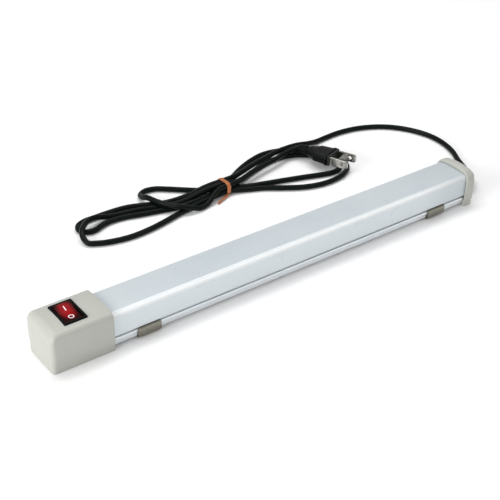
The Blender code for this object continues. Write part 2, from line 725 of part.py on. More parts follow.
def make_driver(finishes):
    """The driver under the LED board: an insulating sheet, the board, and the parts on it."""
    x0 = TUBE_START + DRIVER_FROM_TUBE_END
    x1 = x0 + DRIVER_LENGTH
    half = SHEET_HALF - SHEET_EDGE
    sheet_low = BASE_FLOOR_TOP + GAP
    board_low = sheet_low + SHEET_THICK + GAP
    top = board_low + DRIVER_THICK
    sheet_start = (x0 - SHEET_EDGE, -SHEET_HALF, sheet_low)
    sheet_stop = (x1 + SHEET_EDGE, SHEET_HALF, sheet_low + SHEET_THICK)
    place("driver_insulator", block(sheet_start, sheet_stop), finishes["sheet"])
    place("driver_board", block((x0, -half, board_low), (x1, half, top)), finishes["board"])
    seat = top + GAP
    room = LED_BOARD_Z - LEDGE_THICK - 2 * GAP - seat

    def lying(name, x, y, length, radius, finish):
        ease = radius * 0.15
        stations = ((0, radius - ease), (ease, radius), (length - ease, radius), (length, radius - ease))
        return place(name, turned(stations, "X", (x, y, seat + radius), 20), finish)

    def square(name, x, y, size, finish):
        return place(name, block_at((x, y, seat + size[2] / 2), size), finish)

    lying("fusible_resistor", x0 + 4 * MM, -3.5 * MM, 9 * MM, 1.6 * MM, finishes["resistor"])
    square("bridge_rectifier", x0 + 20 * MM, 2 * MM, (4.7 * MM, 6.8 * MM, 2.5 * MM), finishes["chip"])
    square("film_capacitor", x0 + 32 * MM, -1 * MM, (10 * MM, 4.5 * MM, room), finishes["film"])
    lying("bulk_capacitor", x0 + 41 * MM, 0.5 * MM, 16 * MM, room / 2, finishes["can"])
    square("control_chip", x0 + 64 * MM, 1 * MM, (4.9 * MM, 3.9 * MM, 1.5 * MM), finishes["chip"])
    drum = ((0, 3.9 * MM), (0.9 * MM, 3.9 * MM), (1.2 * MM, 3.2 * MM), (room - 1.2 * MM, 3.2 * MM))
    drum += ((room - 0.9 * MM, 3.9 * MM), (room, 3.9 * MM))
    place("inductor", turned(drum, "Z", (x0 + 76 * MM, 0, seat), 24), finishes["ferrite"])
    lying("output_capacitor", x0 + 85 * MM, -1 * MM, 12 * MM, room / 2 - 0.4 * MM, finishes["can"])
    return x0, x1, top


def make_wires(finishes, driver):
    """Single wires, each in its own lane beside the driver, which stop just short of their solder joints."""
    x0, x1, top = driver
    lane_z = BASE_FLOOR_TOP + GAP + WIRE_RADIUS
    off = TERMINAL_THICK / 2 + WIRE_RADIUS + 1.5 * GAP
    solder_z = TERMINAL_LOW + 1.6 * MM
    lamp_wire_z = (solder_z + HOUSING_FLOOR_TOP - HOUSING_FLOOR) / 2 - 0.8 * MM
    inner = CORD_END - INNER_CORD_LENGTH - 1.2 * MM
    pitch = TERMINAL_PITCH
    routes = {
        "wire_live": (
            (inner, 0.8 * MM, CORD_EXIT_Z),
            (inner - 6 * MM, WIRE_LANE * 0.7, CORD_EXIT_Z - 2 * MM),
            (inner - 14 * MM, WIRE_LANE, lane_z),
            (inner - 20 * MM, WIRE_LANE, lane_z),
            (TUBE_START + 6 * MM, WIRE_LANE, lane_z),
            (TUBE_START, WIRE_LANE, lane_z),
            (TUBE_START - 3 * MM, 6 * MM, lane_z),
            (SWITCH_X + TERMINAL_WIDTH, off, solder_z - 2 * MM),
            (SWITCH_X, off, solder_z),
        ),
        "wire_neutral": (
            (inner, -1.0 * MM, CORD_EXIT_Z),
            (inner - 6 * MM, -WIRE_LANE * 0.7, CORD_EXIT_Z - 2 * MM),
            (inner - 14 * MM, -WIRE_LANE, lane_z),
            (inner - 20 * MM, -WIRE_LANE, lane_z),
            (x1 + 14 * MM, -WIRE_LANE, lane_z),
            (x1 + 8 * MM, -WIRE_LANE, lane_z),
            (x1 + 3 * MM, -6 * MM, lane_z + 2 * MM),
            (x1 + 1.2 * MM, -5 * MM, top),
        ),
        "wire_switched": (
            (SWITCH_X, -pitch - off, solder_z),
            (SWITCH_X + TERMINAL_WIDTH, -pitch - off, solder_z - 2 * MM),
            (TUBE_START - 2 * MM, -WIRE_LANE + 0.3 * MM, lane_z + 1 * MM),
            (TUBE_START + 4 * MM, -WIRE_LANE, lane_z + 1 * MM),
            (x0 - 2.5 * MM, -5 * MM, top),
            (x0 - 1.2 * MM, -4.5 * MM, top),
        ),
        "wire_lamp": (
            (SWITCH_X, pitch - off, solder_z + 0.5 * MM),
            (SWITCH_X + TERMINAL_WIDTH, pitch - off, lamp_wire_z),
            (TUBE_START - 1 * MM, 2 * MM, top + 1 * MM),
            (x0 - 4 * MM, 1.5 * MM, top),
            (x0 - 1.2 * MM, 1.5 * MM, top),
        ),
    }
    for sign, name in ((1, "wire_led_plus"), (-1, "wire_led_minus")):
        side = -0.6 * MM + sign * 1.2 * MM
        end = TUBE_START - 0.2 * MM
        routes[name] = (
            (x0 - 1.2 * MM, side - 0.9 * MM, top + 1.8 * MM),
            (x0 - 7 * MM, side, top + 3.0 * MM),
            (end + 2 * MM, side, LED_BOARD_Z - 4 * MM),
            (end, side, LED_BOARD_Z - 0.5 * MM),
            (end + 0.7 * MM, side, LED_BOARD_Z + 2.1 * MM),
            (end + 4 * MM, side, LED_BOARD_Z + LED_BOARD_THICK + WIRE_RADIUS + GAP),
        )
    for name, points in routes.items():
        cord(name, smooth_path(points, 4 * MM), WIRE_RADIUS, finishes[name], 1)


def strip_outline(middle, thickness):
    """A bent strip's outline from the line along its middle."""
    sides = ([], [])
    for i, point in enumerate(middle):
        before, after = middle[max(i - 1, 0)], middle[min(i + 1, len(middle) - 1)]
        dx, dz = after[0] - before[0], after[1] - before[1]
        size = math.hypot(dx, dz)
        normal = (-dz / size * thickness / 2, dx / size * thickness / 2)
        sides[0].append((point[0] + normal[0], point[1] + normal[1]))
        sides[1].append((point[0] - normal[0], point[1] - normal[1]))
    return sides[0] + list(reversed(sides[1]))


def make_clips(finish):
    """Two sheet-steel clips: a plate under the channel, arms beside the rails, hooks over the rails' tops."""
    half = CLIP_THICK / 2
    arm = RAIL_HALF + GAP + half
    bend = 1.1 * MM
    plate = CLIP_BOTTOM + half
    hook = RAIL_HIGH + GAP + half
    hook_bend = 0.7 * MM
    right = arc((arm - bend, plate + bend), bend, -90, 0, 4)
    right += arc((arm - hook_bend, hook - hook_bend), hook_bend, 0, 90, 4)
    right.append((BASE_WALL_OUT + GAP + 0.3 * MM, hook))
    middle = [(-y, z) for y, z in reversed(right)] + right
    outline = strip_outline(middle, CLIP_THICK)
    places = {
        "mounting_clip_1": SWITCH_RIM + CLIP_1_FROM_RIM,
        "mounting_clip_2": CORD_RIM - CLIP_2_FROM_RIM,
    }
    for name, x in places.items():
        clip = place(name, prism(outline, "X", x - CLIP_WIDTH / 2, x + CLIP_WIDTH / 2), finish)
        hole = turned(((CLIP_BOTTOM - OVERSHOOT, CLIP_HOLE), (BASE_BOTTOM, CLIP_HOLE)), "Z", (x, 0, 0), 16)
        carve(clip, place(f"cut_hole_{name}", hole, None, True))


def lead_path():
    """The lead's middle line, from inside the tube to where it joins the hank."""
    backs = (INNER_CORD_LENGTH, INNER_CORD_LENGTH / 2)
    inside = [Vector((CORD_END - back, 0, CORD_EXIT_Z)) for back in backs]
    outside = [Vector((CORD_END + x * MM, y * MM, z * MM)) for x, y, z in LEAD_ROUTE]
    return smooth_path(inside + outside, 1 * MM)


def make_lead(finishes):
    path = lead_path()
    at_exit = INNER_CORD_LENGTH
    flange_start = at_exit - (CORD_END - TUBE_STOP) - BUSH_FLANGE_THICK
    neck_start = at_exit - (CORD_END - TUBE_STOP)
    collar_start = at_exit + GAP
    tip = at_exit + BUSH_LENGTH
    marks = [flange_start, neck_start, neck_start, collar_start, collar_start]
    radii = [BUSH_FLANGE, BUSH_FLANGE, BUSH_NECK, BUSH_NECK, BUSH_FLANGE]
    grooves = 9
    for i in range(grooves + 1):
        marks.append(collar_start + (tip - collar_start) * (0.12 + 0.88 * i / grooves))
        radii.append(BUSH_FLANGE + (BUSH_TIP - BUSH_FLANGE) * (i / grooves) ** 0.8)
    points = [stretch(path, m, m + 0.1 * MM, 0.1 * MM)[0] for m in marks]
    place("cord_bush", sleeve(points, radii, BUSH_BORE), finishes["rubber"])
    square_end = 1 * MM
    inner = stretch(path, 0.0, tip - square_end, 5 * MM)
    inner += stretch(path, tip - square_end, tip, square_end)[1:]
    cord("cord_inner", inner, CORD_RADIUS, finishes["cord"])
    retainer = flange_start - GAP - RETAINER_THICK
    ring = stretch(path, retainer, retainer + RETAINER_THICK, RETAINER_THICK)
    place("cord_retainer", sleeve(ring, [RETAINER_RADIUS] * len(ring), BUSH_BORE), finishes["nylon"])
    whole = sum((b - a).length for a, b in zip(path, path[1:]))
    start = tip + GAP
    lead = stretch(path, start, start + square_end, square_end)
    lead += stretch(path, start + square_end, whole - 3 * GAP, 9 * MM)[1:]
    cord("cord_lead", lead, CORD_RADIUS, finishes["cord"])


def make_hank(finishes):
    def waist(way):
        """The outline's straight piece past the tie, towards +X below it and towards -X above it."""
        y = TIE_Y - way * TIE_HALF_SPAN
        return [(CORD_END + TIE_X + way * x * MM, y, 0) for x in (-6, -2, 2, 6)]

    right = [(CORD_END + x * MM, y * MM, 0) for x, y in HANK_RIGHT]
    left = [(CORD_END + x * MM, y * MM, 0) for x, y in HANK_LEFT]
    round_trip = waist(1) + right + waist(-1) + left
    outline = [(p.x, p.y) for p in smooth_path([*round_trip, round_trip[0]], 5 * MM)[:-1]]
    hank = place("cord_hank", prism(outline, "Z", HANK_RAISE, HANK_HEIGHT + TIE_LIFT), finishes["cord"])
    ys = [y for _, y in outline]
    low, high = min(ys) - OVERSHOOT, max(ys) + OVERSHOOT
    left, right = CORD_END + TIE_X - 5 * MM, CORD_END + TIE_X + 5 * MM
    step = CORD_END + HANK_STEP_X
    far_left = min(x for x, _ in outline) - OVERSHOOT
    far_right = max(x for x, _ in outline) + OVERSHOOT
    ceiling = HANK_HEIGHT + TIE_LIFT + OVERSHOOT
    cuts = {
        "cut_hank_left": block((far_left, low, HANK_HEIGHT), (left, high, ceiling)),
        "cut_hank_right": block((right, low, HANK_HEIGHT), (far_right, high, ceiling)),
        "cut_hank_step": block((step, low, HANK_LOW_HEIGHT), (far_right, HANK_STEP_Y, ceiling)),
        "cut_hank_under": block((left, low, -OVERSHOOT), (right, high, TIE_LIFT)),
    }
    carve(hank, *(place(name, cut, None, True) for name, cut in cuts.items()))

    def band(extra, width):
        across = TIE_HALF_SPAN + GAP + extra
        bottom = TIE_LIFT - GAP - extra
        top = HANK_HEIGHT + TIE_LIFT + GAP + extra
        corner = 0.4 * MM + extra
        outline = arc((across - corner, bottom + corner), corner, -90, 0, 4)
        outline += arc((across - corner, top - corner), corner, 0, 90, 4)
        outline += arc((corner - across, top - corner), corner, 90, 180, 4)
        outline += arc((corner - across, bottom + corner), corner, 180, 270, 4)
        outline = [(y + TIE_Y, z) for y, z in outline]
        return prism(outline, "X", CORD_END + TIE_X - width / 2, CORD_END + TIE_X + width / 2)

    tie = place("cord_tie", band(TIE_THICK, TIE_WIDTH), finishes["tie"])
    carve(tie, place("cut_tie_inside", band(0.0, TIE_WIDTH + 2 * OVERSHOOT), None, True))


def make_plug(finishes):
    tail = Vector(PLUG_TAIL) + Vector((CORD_END, 0, 0))
    face = Vector(PLUG_FACE) + Vector((CORD_END, 0, 0))
    along = (face - tail).normalized()
    side = along.cross(Vector((0, 0, 1))).normalized()
    up = side.cross(along)
    stand = Matrix((along, side, up)).transposed().to_4x4()
    stand.translation = face

    def ring(x, half_y, half_z, power):
        points = []
        for i in range(28):
            a = 2 * math.pi * i / 28
            c, s = math.cos(a), math.sin(a)
            y = math.copysign(abs(c) ** (2 / power), c) * half_y
            z = math.copysign(abs(s) ** (2 / power), s) * half_z
            points.append((x, y, z))
        return points

    w, h, r = PLUG_FACE_WIDTH / 2, PLUG_FACE_HEIGHT / 2, PLUG_TAIL_RADIUS
    stations = (
        (-1.00, r * 0.85, r * 0.85, 2.0),
        (-0.97, r, r, 2.0),
        (-0.72, r * 1.1, r * 1.1, 2.0),
        (-0.60, w * 0.55, h * 0.80, 2.4),
        (-0.42, w * 0.86, h * 0.92, 3.0),
        (-0.25, w * 0.97, h, 3.6),
        (-0.05, w, h, 4.2),
        (0.00, w * 0.96, h * 0.93, 4.2),
    )
    skin = loft([ring(share * PLUG_LENGTH, y, z, power) for share, y, z, power in stations])
    body = place("plug_body", skin, finishes["plug"])
    insert_size = (PLUG_INSERT_THICK, PLUG_FACE_WIDTH - 3 * MM, PLUG_FACE_HEIGHT - 2 * MM)
    insert_x = GAP + PLUG_INSERT_THICK / 2
    insert = place("plug_insert", block_at((insert_x, 0, 0), insert_size), finishes["insert"])
    pocket = 4.0 * MM
    for number, way in ((1, -1), (2, 1)):
        y = way * BLADE_PITCH / 2
        size = (pocket * 2, BLADE_THICK + 2 * GAP, BLADE_WIDTH + 2 * GAP)
        slot = place(f"cut_blade_slot_{number}", block_at((0, y, 0), size), None, True)
        carve(body, slot)
        carve(insert, slot)
        ease = 1.2 * MM
        z = BLADE_WIDTH / 2
        outline = (
            (GAP - pocket, -z),
            (BLADE_LENGTH - ease, -z),
            (BLADE_LENGTH, -z + ease),
            (BLADE_LENGTH, z - ease),
            (BLADE_LENGTH - ease, z),
            (GAP - pocket, z),
        )
        blade = prism(outline, "Y", y - BLADE_THICK / 2, y + BLADE_THICK / 2)
        blade = place(f"plug_blade_{number}", blade, finishes["blade"])
        eye_ends = ((y - BLADE_THICK, BLADE_EYE), (y + BLADE_THICK, BLADE_EYE))
        eye = turned(eye_ends, "Y", (BLADE_LENGTH * 0.72, 0, 0), 12)
        eye = place(f"cut_blade_eye_{number}", eye, None, True)
        carve(blade, eye)
        for obj in (slot, blade, eye):
            obj.matrix_world = stand
    for obj in (body, insert):
        obj.matrix_world = stand


def main():
    for obj in list(bpy.data.objects):
        bpy.data.objects.remove(obj)
    cap = paint("cap_plastic", (0.68, 0.69, 0.65), 0.45)
    frosted = paint("frosted_cover", (0.84, 0.88, 0.90), 0.35)
    aluminium = paint("aluminium", (0.75, 0.78, 0.80), 0.4, 1.0)
    steel = paint("clip_steel", (0.62, 0.60, 0.55), 0.25, 1.0)
    black = paint("black_plastic", (0.02, 0.02, 0.02), 0.4)
    red = paint("red_rocker", (0.30, 0.01, 0.02), 0.3)
    brass = paint("brass", (0.75, 0.58, 0.28), 0.35, 1.0)
    spring_steel = paint("spring_steel", (0.6, 0.6, 0.6), 0.3, 1.0)
    glass = paint("lamp_glass", (0.9, 0.7, 0.6), 0.1)
    white = paint("white_board", (0.85, 0.85, 0.83), 0.5)
    phosphor = paint("led_phosphor", (0.9, 0.8, 0.3), 0.5)
    cord_black = paint("cord_black", (0.015, 0.02, 0.018), 0.4)
    nylon = paint("nylon", (0.85, 0.85, 0.82), 0.5)
    copper = paint("copper_tie", (0.75, 0.35, 0.18), 0.4)
    blade = paint("plated_blade", (0.8, 0.8, 0.8), 0.2, 1.0)
    driver_finishes = {
        "sheet": paint("insulator", (0.35, 0.45, 0.35), 0.7),
        "board": paint("driver_laminate", (0.05, 0.22, 0.10), 0.5),
        "resistor": paint("resistor_body", (0.30, 0.42, 0.55), 0.5),
        "chip": black,
        "film": paint("film_capacitor_case", (0.75, 0.55, 0.08), 0.5),
        "can": paint("capacitor_can", (0.05, 0.06, 0.12), 0.35),
        "ferrite": paint("ferrite", (0.12, 0.12, 0.12), 0.6),
    }
    brown = paint("wire_brown", (0.25, 0.10, 0.04), 0.5)
    blue = paint("wire_blue", (0.05, 0.15, 0.45), 0.5)
    wire_finishes = {
        "wire_live": brown,
        "wire_switched": brown,
        "wire_neutral": blue,
        "wire_lamp": blue,
        "wire_led_plus": paint("wire_red", (0.55, 0.03, 0.03), 0.5),
        "wire_led_minus": paint("wire_black", (0.03, 0.03, 0.03), 0.5),
    }
    make_switch_cap(cap)
    make_cord_cap(cap)
    make_cover(frosted)
    make_base(aluminium)
    make_switch_housing(black)
    make_rocker(red)
    make_plunger(nylon)
    make_spring(spring_steel)
    make_contact(brass)
    make_terminals(brass)
    make_lamp(glass)
    make_led_board(white, phosphor)
    make_wires(wire_finishes, make_driver(driver_finishes))
    make_clips(steel)
    make_lead({"rubber": black, "cord": cord_black, "nylon": nylon})
    make_hank({"cord": cord_black, "tie": copper})
    make_plug({"plug": black, "insert": white, "blade": blade})


main()
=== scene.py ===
"""An LED tube light with end caps, rocker switch, clips and tied mains cord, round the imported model."""

import json
import math

import bmesh
import bpy
from mathutils import Matrix, Vector


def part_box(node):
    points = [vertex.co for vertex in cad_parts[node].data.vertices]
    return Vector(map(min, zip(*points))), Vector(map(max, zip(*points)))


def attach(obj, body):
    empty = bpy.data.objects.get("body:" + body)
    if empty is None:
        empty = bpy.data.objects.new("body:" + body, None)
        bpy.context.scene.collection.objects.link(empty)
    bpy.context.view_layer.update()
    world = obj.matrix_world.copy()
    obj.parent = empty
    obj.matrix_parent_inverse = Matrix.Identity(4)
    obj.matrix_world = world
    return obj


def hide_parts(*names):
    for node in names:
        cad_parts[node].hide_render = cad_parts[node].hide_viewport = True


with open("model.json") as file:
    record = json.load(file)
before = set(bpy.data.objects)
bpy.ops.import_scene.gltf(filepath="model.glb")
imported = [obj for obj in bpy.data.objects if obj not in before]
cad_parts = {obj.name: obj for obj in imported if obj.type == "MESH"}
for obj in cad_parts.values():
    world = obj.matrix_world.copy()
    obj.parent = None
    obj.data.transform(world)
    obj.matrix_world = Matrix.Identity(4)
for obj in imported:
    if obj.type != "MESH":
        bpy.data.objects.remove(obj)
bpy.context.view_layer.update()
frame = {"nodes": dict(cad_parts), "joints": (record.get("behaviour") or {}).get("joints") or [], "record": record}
MM = 0.001

# Where the camera stood, and the lens that it had
CAMERA_TARGET = Vector((-11.4, 11.9, 12.0)) * MM
CAMERA_AZIMUTH = math.radians(-37.15)
CAMERA_ELEVATION = math.radians(33.14)
CAMERA_ROLL = math.radians(1.34)
CAMERA_DISTANCE = 697.1 * MM
CAMERA_LENS = 77.0
CAMERA_NEAR = 0.01

# Sizes and places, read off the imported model
SWITCH_CAP_LOW, SWITCH_CAP_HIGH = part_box("switch_end_cap")
CORD_CAP_LOW, CORD_CAP_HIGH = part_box("cord_end_cap")
COVER_LOW, COVER_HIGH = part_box("diffuser")
HOUSING_LOW, HOUSING_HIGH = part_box("switch_housing")
CORD_END = CORD_CAP_HIGH[0]
CAP_HALF = SWITCH_CAP_HIGH[1]
GAP = 0.3 * MM


def joint_named(name):
    return next(joint for joint in frame["joints"] if joint["name"] == name)


SLOTS = {entry["node"]: entry["material_slot"] for entry in frame["record"]["subparts"]}
PIVOT = Vector(joint_named("rocker_tilt")["pos_m"])
ROCKER_TRAVEL = math.radians(joint_named("rocker_tilt")["range_deg"][1])


# ---------------------------------------------------------------- camera

def make_camera():
    back = Vector(
        (
            math.sin(CAMERA_AZIMUTH) * math.cos(CAMERA_ELEVATION),
            -math.cos(CAMERA_AZIMUTH) * math.cos(CAMERA_ELEVATION),
            math.sin(CAMERA_ELEVATION),
        )
    )
    level = Vector((0, 0, 1)).cross(back).normalized()
    upright = back.cross(level)
    right = level * math.cos(CAMERA_ROLL) + upright * math.sin(CAMERA_ROLL)
    up = upright * math.cos(CAMERA_ROLL) - level * math.sin(CAMERA_ROLL)
    data = bpy.data.cameras.new("camera")
    data.lens = CAMERA_LENS
    data.clip_start = CAMERA_NEAR
    camera = bpy.data.objects.new("camera", data)
    stand = Matrix((right, up, back)).transposed().to_4x4()
    stand.translation = CAMERA_TARGET + back * CAMERA_DISTANCE
    camera.matrix_world = stand
    bpy.context.scene.collection.objects.link(camera)
    bpy.context.scene.camera = camera


# ---------------------------------------------------------------- materials

class Nodes:
    """A Principled material and short ways to add texture nodes, in the object's own coordinates."""

    def __init__(self, name, colour, roughness, metallic=0.0, **sockets):
        self.material = bpy.data.materials.new(name)
        self.material.use_nodes = True
        self.tree = self.material.node_tree
        self.shader = self.tree.nodes["Principled BSDF"]
        self.shader.inputs["Base Color"].default_value = (*colour, 1.0)
        self.shader.inputs["Roughness"].default_value = roughness
        self.shader.inputs["Metallic"].default_value = metallic
        for socket, value in sockets.items():
            self.shader.inputs[socket.replace("_", " ")].default_value = value
        self.place = self.tree.nodes.new("ShaderNodeTexCoord").outputs["Object"]
        self.height = None

    def link(self, source, target):
        self.tree.links.new(source, target)

    def stretched(self, scale):
        mapping = self.tree.nodes.new("ShaderNodeMapping")
        mapping.inputs["Scale"].default_value = scale
        self.link(self.place, mapping.inputs["Vector"])
        return mapping.outputs["Vector"]

    def noise(self, scale, detail=3.0, stretch=(1, 1, 1)):
        node = self.tree.nodes.new("ShaderNodeTexNoise")
        node.inputs["Scale"].default_value = scale
        node.inputs["Detail"].default_value = detail
        self.link(self.stretched(stretch), node.inputs["Vector"])
        return node.outputs["Fac"]

    def ramp(self, source, low, high, low_value, high_value):
        node = self.tree.nodes.new("ShaderNodeMapRange")
        limits = {"From Min": low, "From Max": high, "To Min": low_value, "To Max": high_value}
        for socket, value in limits.items():
            node.inputs[socket].default_value = value
        self.link(source, node.inputs["Value"])
        return node.outputs["Result"]

    def mixed(self, source, first, second, low=0.3, high=0.7):
        """A colour from first to second as source goes from low to high."""
        mix = self.tree.nodes.new("ShaderNodeMix")
        mix.data_type = "RGBA"
        inputs = [socket for socket in mix.inputs if socket.type == "RGBA"]
        for socket, colour in zip(inputs, (first, second)):
            if isinstance(colour, (tuple, list)):
                socket.default_value = (*colour, 1.0)
            else:
                self.link(colour, socket)
        self.link(self.ramp(source, low, high, 0.0, 1.0), mix.inputs["Factor"])
        return next(socket for socket in mix.outputs if socket.type == "RGBA")

    def tint(self, source, first, second, low=0.3, high=0.7):
        self.link(self.mixed(source, first, second, low, high), self.shader.inputs["Base Color"])
        return self

    def rough(self, source, smoothest, roughest):
        self.link(self.ramp(source, 0.3, 0.7, smoothest, roughest), self.shader.inputs["Roughness"])
        return self

    def bump(self, source, depth, strength=0.5):
        node = self.tree.nodes.new("ShaderNodeBump")
        node.inputs["Strength"].default_value = strength
        node.inputs["Distance"].default_value = depth
        self.link(source, node.inputs["Height"])
        if self.height:
            self.link(self.height, node.inputs["Normal"])
        self.height = node.outputs["Normal"]
        self.link(self.height, self.shader.inputs["Normal"])
        return self

    def along(self, axis):
        split = self.tree.nodes.new("ShaderNodeSeparateXYZ")
        self.link(self.place, split.inputs["Vector"])
        return split.outputs[axis]

    def math(self, operation, first, second):
        node = self.tree.nodes.new("ShaderNodeMath")
        node.operation = operation
        for socket, value in zip(node.inputs, (first, second)):
            if isinstance(value, (int, float)):
                socket.default_value = value
            else:
                self.link(value, socket)
        return node.outputs["Value"]


def grained(name, colour, roughness, grain=900.0, depth=0.02 * MM, shift=0.03, metallic=0.0, **sockets):
    """A moulded or coated surface: slight colour and gloss changes and a fine grain."""
    made = Nodes(name, colour, roughness, metallic, **sockets)
    darker = [max(0.0, c * (1 - shift)) for c in colour]
    lighter = [min(1.0, c * (1 + shift)) for c in colour]
    made.tint(made.noise(38.0), darker, lighter)
    made.rough(made.noise(95.0), max(0.03, roughness - 0.05), roughness + 0.05)
    made.bump(made.noise(grain, 2.0), depth, 0.35)
    return made.material


def brushed(name, colour, roughness, stretch, depth=0.01 * MM, shift=0.06, strength=0.3):
    """Metal with fine lines along one way."""
    made = Nodes(name, colour, roughness, 1.0)
    lines = made.noise(700.0, 4.0, stretch)
    made.tint(lines, [c * (1 - shift) for c in colour], [min(1.0, c * (1 + shift)) for c in colour])
    made.rough(made.noise(500.0, 3.0, stretch), roughness - 0.06, roughness + 0.08)
    made.bump(lines, depth, strength)
    return made.material


def make_cover_material():
    """Frosted plastic in a cool white, with faint lengthwise lines.

    Its colour has light and shade painted in by place: painted light down the sides, a painted highlight
    along the upper corners, and painted shade that makes it greyer towards the cord's end.
    """
    top_dark, top_light = (0.50, 0.555, 0.590), (0.545, 0.595, 0.625)
    # painted light for the sides, a painted highlight for the upper corners and painted shade for the cord's end
    painted_side_light, painted_corner_highlight, painted_end_shade = (0.68, 0.745, 0.78), (0.96, 0.985, 0.99), (0.42, 0.47, 0.50)
    painted_light_low, painted_light_high = COVER_HIGH[2] - 4.5 * MM, COVER_HIGH[2] - 1.2 * MM
    highlight_y, highlight_z = COVER_HIGH[1] - 1.3 * MM, COVER_HIGH[2] - 2.2 * MM
    painted_shade_start, painted_shade_end = CORD_CAP_LOW[0] - 45 * MM, CORD_CAP_LOW[0] + 40 * MM
    made = Nodes("frosted_cover", (0.53, 0.58, 0.61), 0.30, Coat_Weight=0.5, Coat_Roughness=0.22)
    top = made.mixed(made.noise(22.0), top_dark, top_light)
    height = made.along("Z")
    sides = made.mixed(height, painted_side_light, top, painted_light_low, painted_light_high)
    # distance from the line along each upper corner, where the painted highlight is brightest
    out = made.math("SUBTRACT", made.math("ABSOLUTE", made.along("Y"), 0.0), highlight_y)
    up = made.math("SUBTRACT", height, highlight_z)
    square = made.math("ADD", made.math("POWER", out, 2.0), made.math("POWER", up, 2.0))
    from_painted_highlight = made.math("SQRT", square, 0.0)
    with_painted_highlight = made.mixed(from_painted_highlight, painted_corner_highlight, sides, 0.5 * MM, 2.6 * MM)
    # painted shade: the colour greys towards the cord's end
    colour = made.mixed(made.along("X"), with_painted_highlight, painted_end_shade, painted_shade_start, painted_shade_end)
    made.link(colour, made.shader.inputs["Base Color"])
    made.rough(made.noise(60.0), 0.26, 0.36)
    made.bump(made.noise(80.0, 1.0, (0.04, 1, 1)), 0.02 * MM, 0.15)
    return made.material


def make_rocker_material():
    """Dark red plastic, with painted light near its middle and painted shade, almost black, at its edges."""
    half_across, middle, half_along = 5.2 * MM, 1.6 * MM, 9.0 * MM
    made = Nodes("red_rocker", (0.30, 0.006, 0.012), 0.38, Specular_IOR_Level=0.05)
    x = made.math("SUBTRACT", made.along("X"), PIVOT.x)
    across = made.math("DIVIDE", x, half_across)
    y = made.math("SUBTRACT", made.along("Y"), middle)
    length = made.math("DIVIDE", y, half_along)
    far = made.math("ADD", made.math("POWER", across, 2.0), made.math("POWER", length, 2.0))
    wobble = made.math("MULTIPLY", made.noise(260.0), 0.3)
    # painted light near the middle, a little towards the I side, fading to painted shade at the edges
    made.tint(made.math("ADD", far, wobble), (0.34, 0.006, 0.008), (0.022, 0.001, 0.001), 0.1, 1.15)
    made.bump(made.noise(1500.0, 2.0), 0.006 * MM, 0.2)
    return made.material


def make_cord_material():
    made = Nodes("cord_black", (0.002, 0.004, 0.003), 0.36, Specular_IOR_Level=0.10)
    made.tint(made.noise(120.0), (0.0015, 0.003, 0.002), (0.003, 0.006, 0.0045))
    made.rough(made.noise(240.0), 0.28, 0.42)
    made.bump(made.noise(1400.0, 2.0), 0.02 * MM, 0.4)
    return made.material


def make_materials():
    cap = (0.448, 0.458, 0.415)
    return {
        "cap_plastic": grained("cap_plastic", cap, 0.42, 1100.0, 0.03 * MM, 0.015),
        "frosted_cover": make_cover_material(),
        "aluminium": brushed("aluminium", (0.84, 0.87, 0.89), 0.45, (0.01, 1, 1)),
        "clip_steel": brushed("clip_steel", (0.25, 0.24, 0.20), 0.22, (1, 0.02, 1)),
        "black_plastic": grained(
            "black_plastic", (0.003, 0.003, 0.003), 0.40, 1500.0, 0.015 * MM, Specular_IOR_Level=0.06
        ),
        "red_rocker": make_rocker_material(),
        "nylon": grained("nylon", (0.80, 0.80, 0.76), 0.45),
        "spring_steel": brushed("spring_steel", (0.62, 0.62, 0.62), 0.25, (1, 1, 1)),
        "brass": brushed("brass", (0.80, 0.60, 0.28), 0.28, (1, 0.02, 1)),
        "lamp_glass": grained(
            "lamp_glass", (0.85, 0.70, 0.62), 0.06, 300.0, 0.01 * MM, Transmission_Weight=0.8
        ),
        "white_board": grained("white_board", (0.84, 0.85, 0.83), 0.38, 600.0, 0.02 * MM),
        "led_phosphor": grained("led_phosphor", (0.90, 0.78, 0.22), 0.30, 800.0, 0.03 * MM),
        "insulator": grained("insulator", (0.33, 0.42, 0.33), 0.6, 400.0),
        "driver_laminate": grained("driver_laminate", (0.03, 0.20, 0.08), 0.35, 300.0, 0.03 * MM, 0.15),
        "resistor_body": grained("resistor_body", (0.28, 0.40, 0.52), 0.4),
        "film_capacitor_case": grained("film_capacitor_case", (0.72, 0.50, 0.06), 0.35),
        "capacitor_can": grained("capacitor_can", (0.035, 0.045, 0.10), 0.28),
        "ferrite": grained("ferrite", (0.10, 0.10, 0.10), 0.6, 500.0, 0.05 * MM),
        "wire_brown": grained("wire_brown", (0.20, 0.08, 0.03), 0.4),
        "wire_blue": grained("wire_blue", (0.04, 0.13, 0.42), 0.4),
        "wire_red": grained("wire_red", (0.50, 0.02, 0.02), 0.4),
        "wire_black": grained("wire_black", (0.02, 0.02, 0.02), 0.4),
        "cord_black": make_cord_material(),
        "cord_rubber": grained(
            "cord_rubber", (0.003, 0.004, 0.0035), 0.42, 1200.0, 0.03 * MM, Specular_IOR_Level=0.12
        ),
        "copper_tie": grained("copper_tie", (0.46, 0.150, 0.050), 0.28, 420.0, 0.12 * MM, 0.22, 0.3),
        "plug_plastic": grained(
            "plug_plastic", (0.003, 0.004, 0.0035), 0.40, 1300.0, 0.04 * MM, Specular_IOR_Level=0.12
        ),
        "plug_insert": grained("plug_insert", (0.012, 0.013, 0.012), 0.45),
        "plated_blade": brushed("plated_blade", (0.45, 0.44, 0.41), 0.18, (1, 1, 0.02)),
        "white_mark": grained("white_mark", (0.86, 0.86, 0.86), 0.4, 900.0, 0.01 * MM),
        "floor": grained("floor", (0.96, 0.96, 0.96), 0.8, 60.0, 0.05 * MM, 0.004, Specular_IOR_Level=0.1),
    }


# ---------------------------------------------------------------- shapes

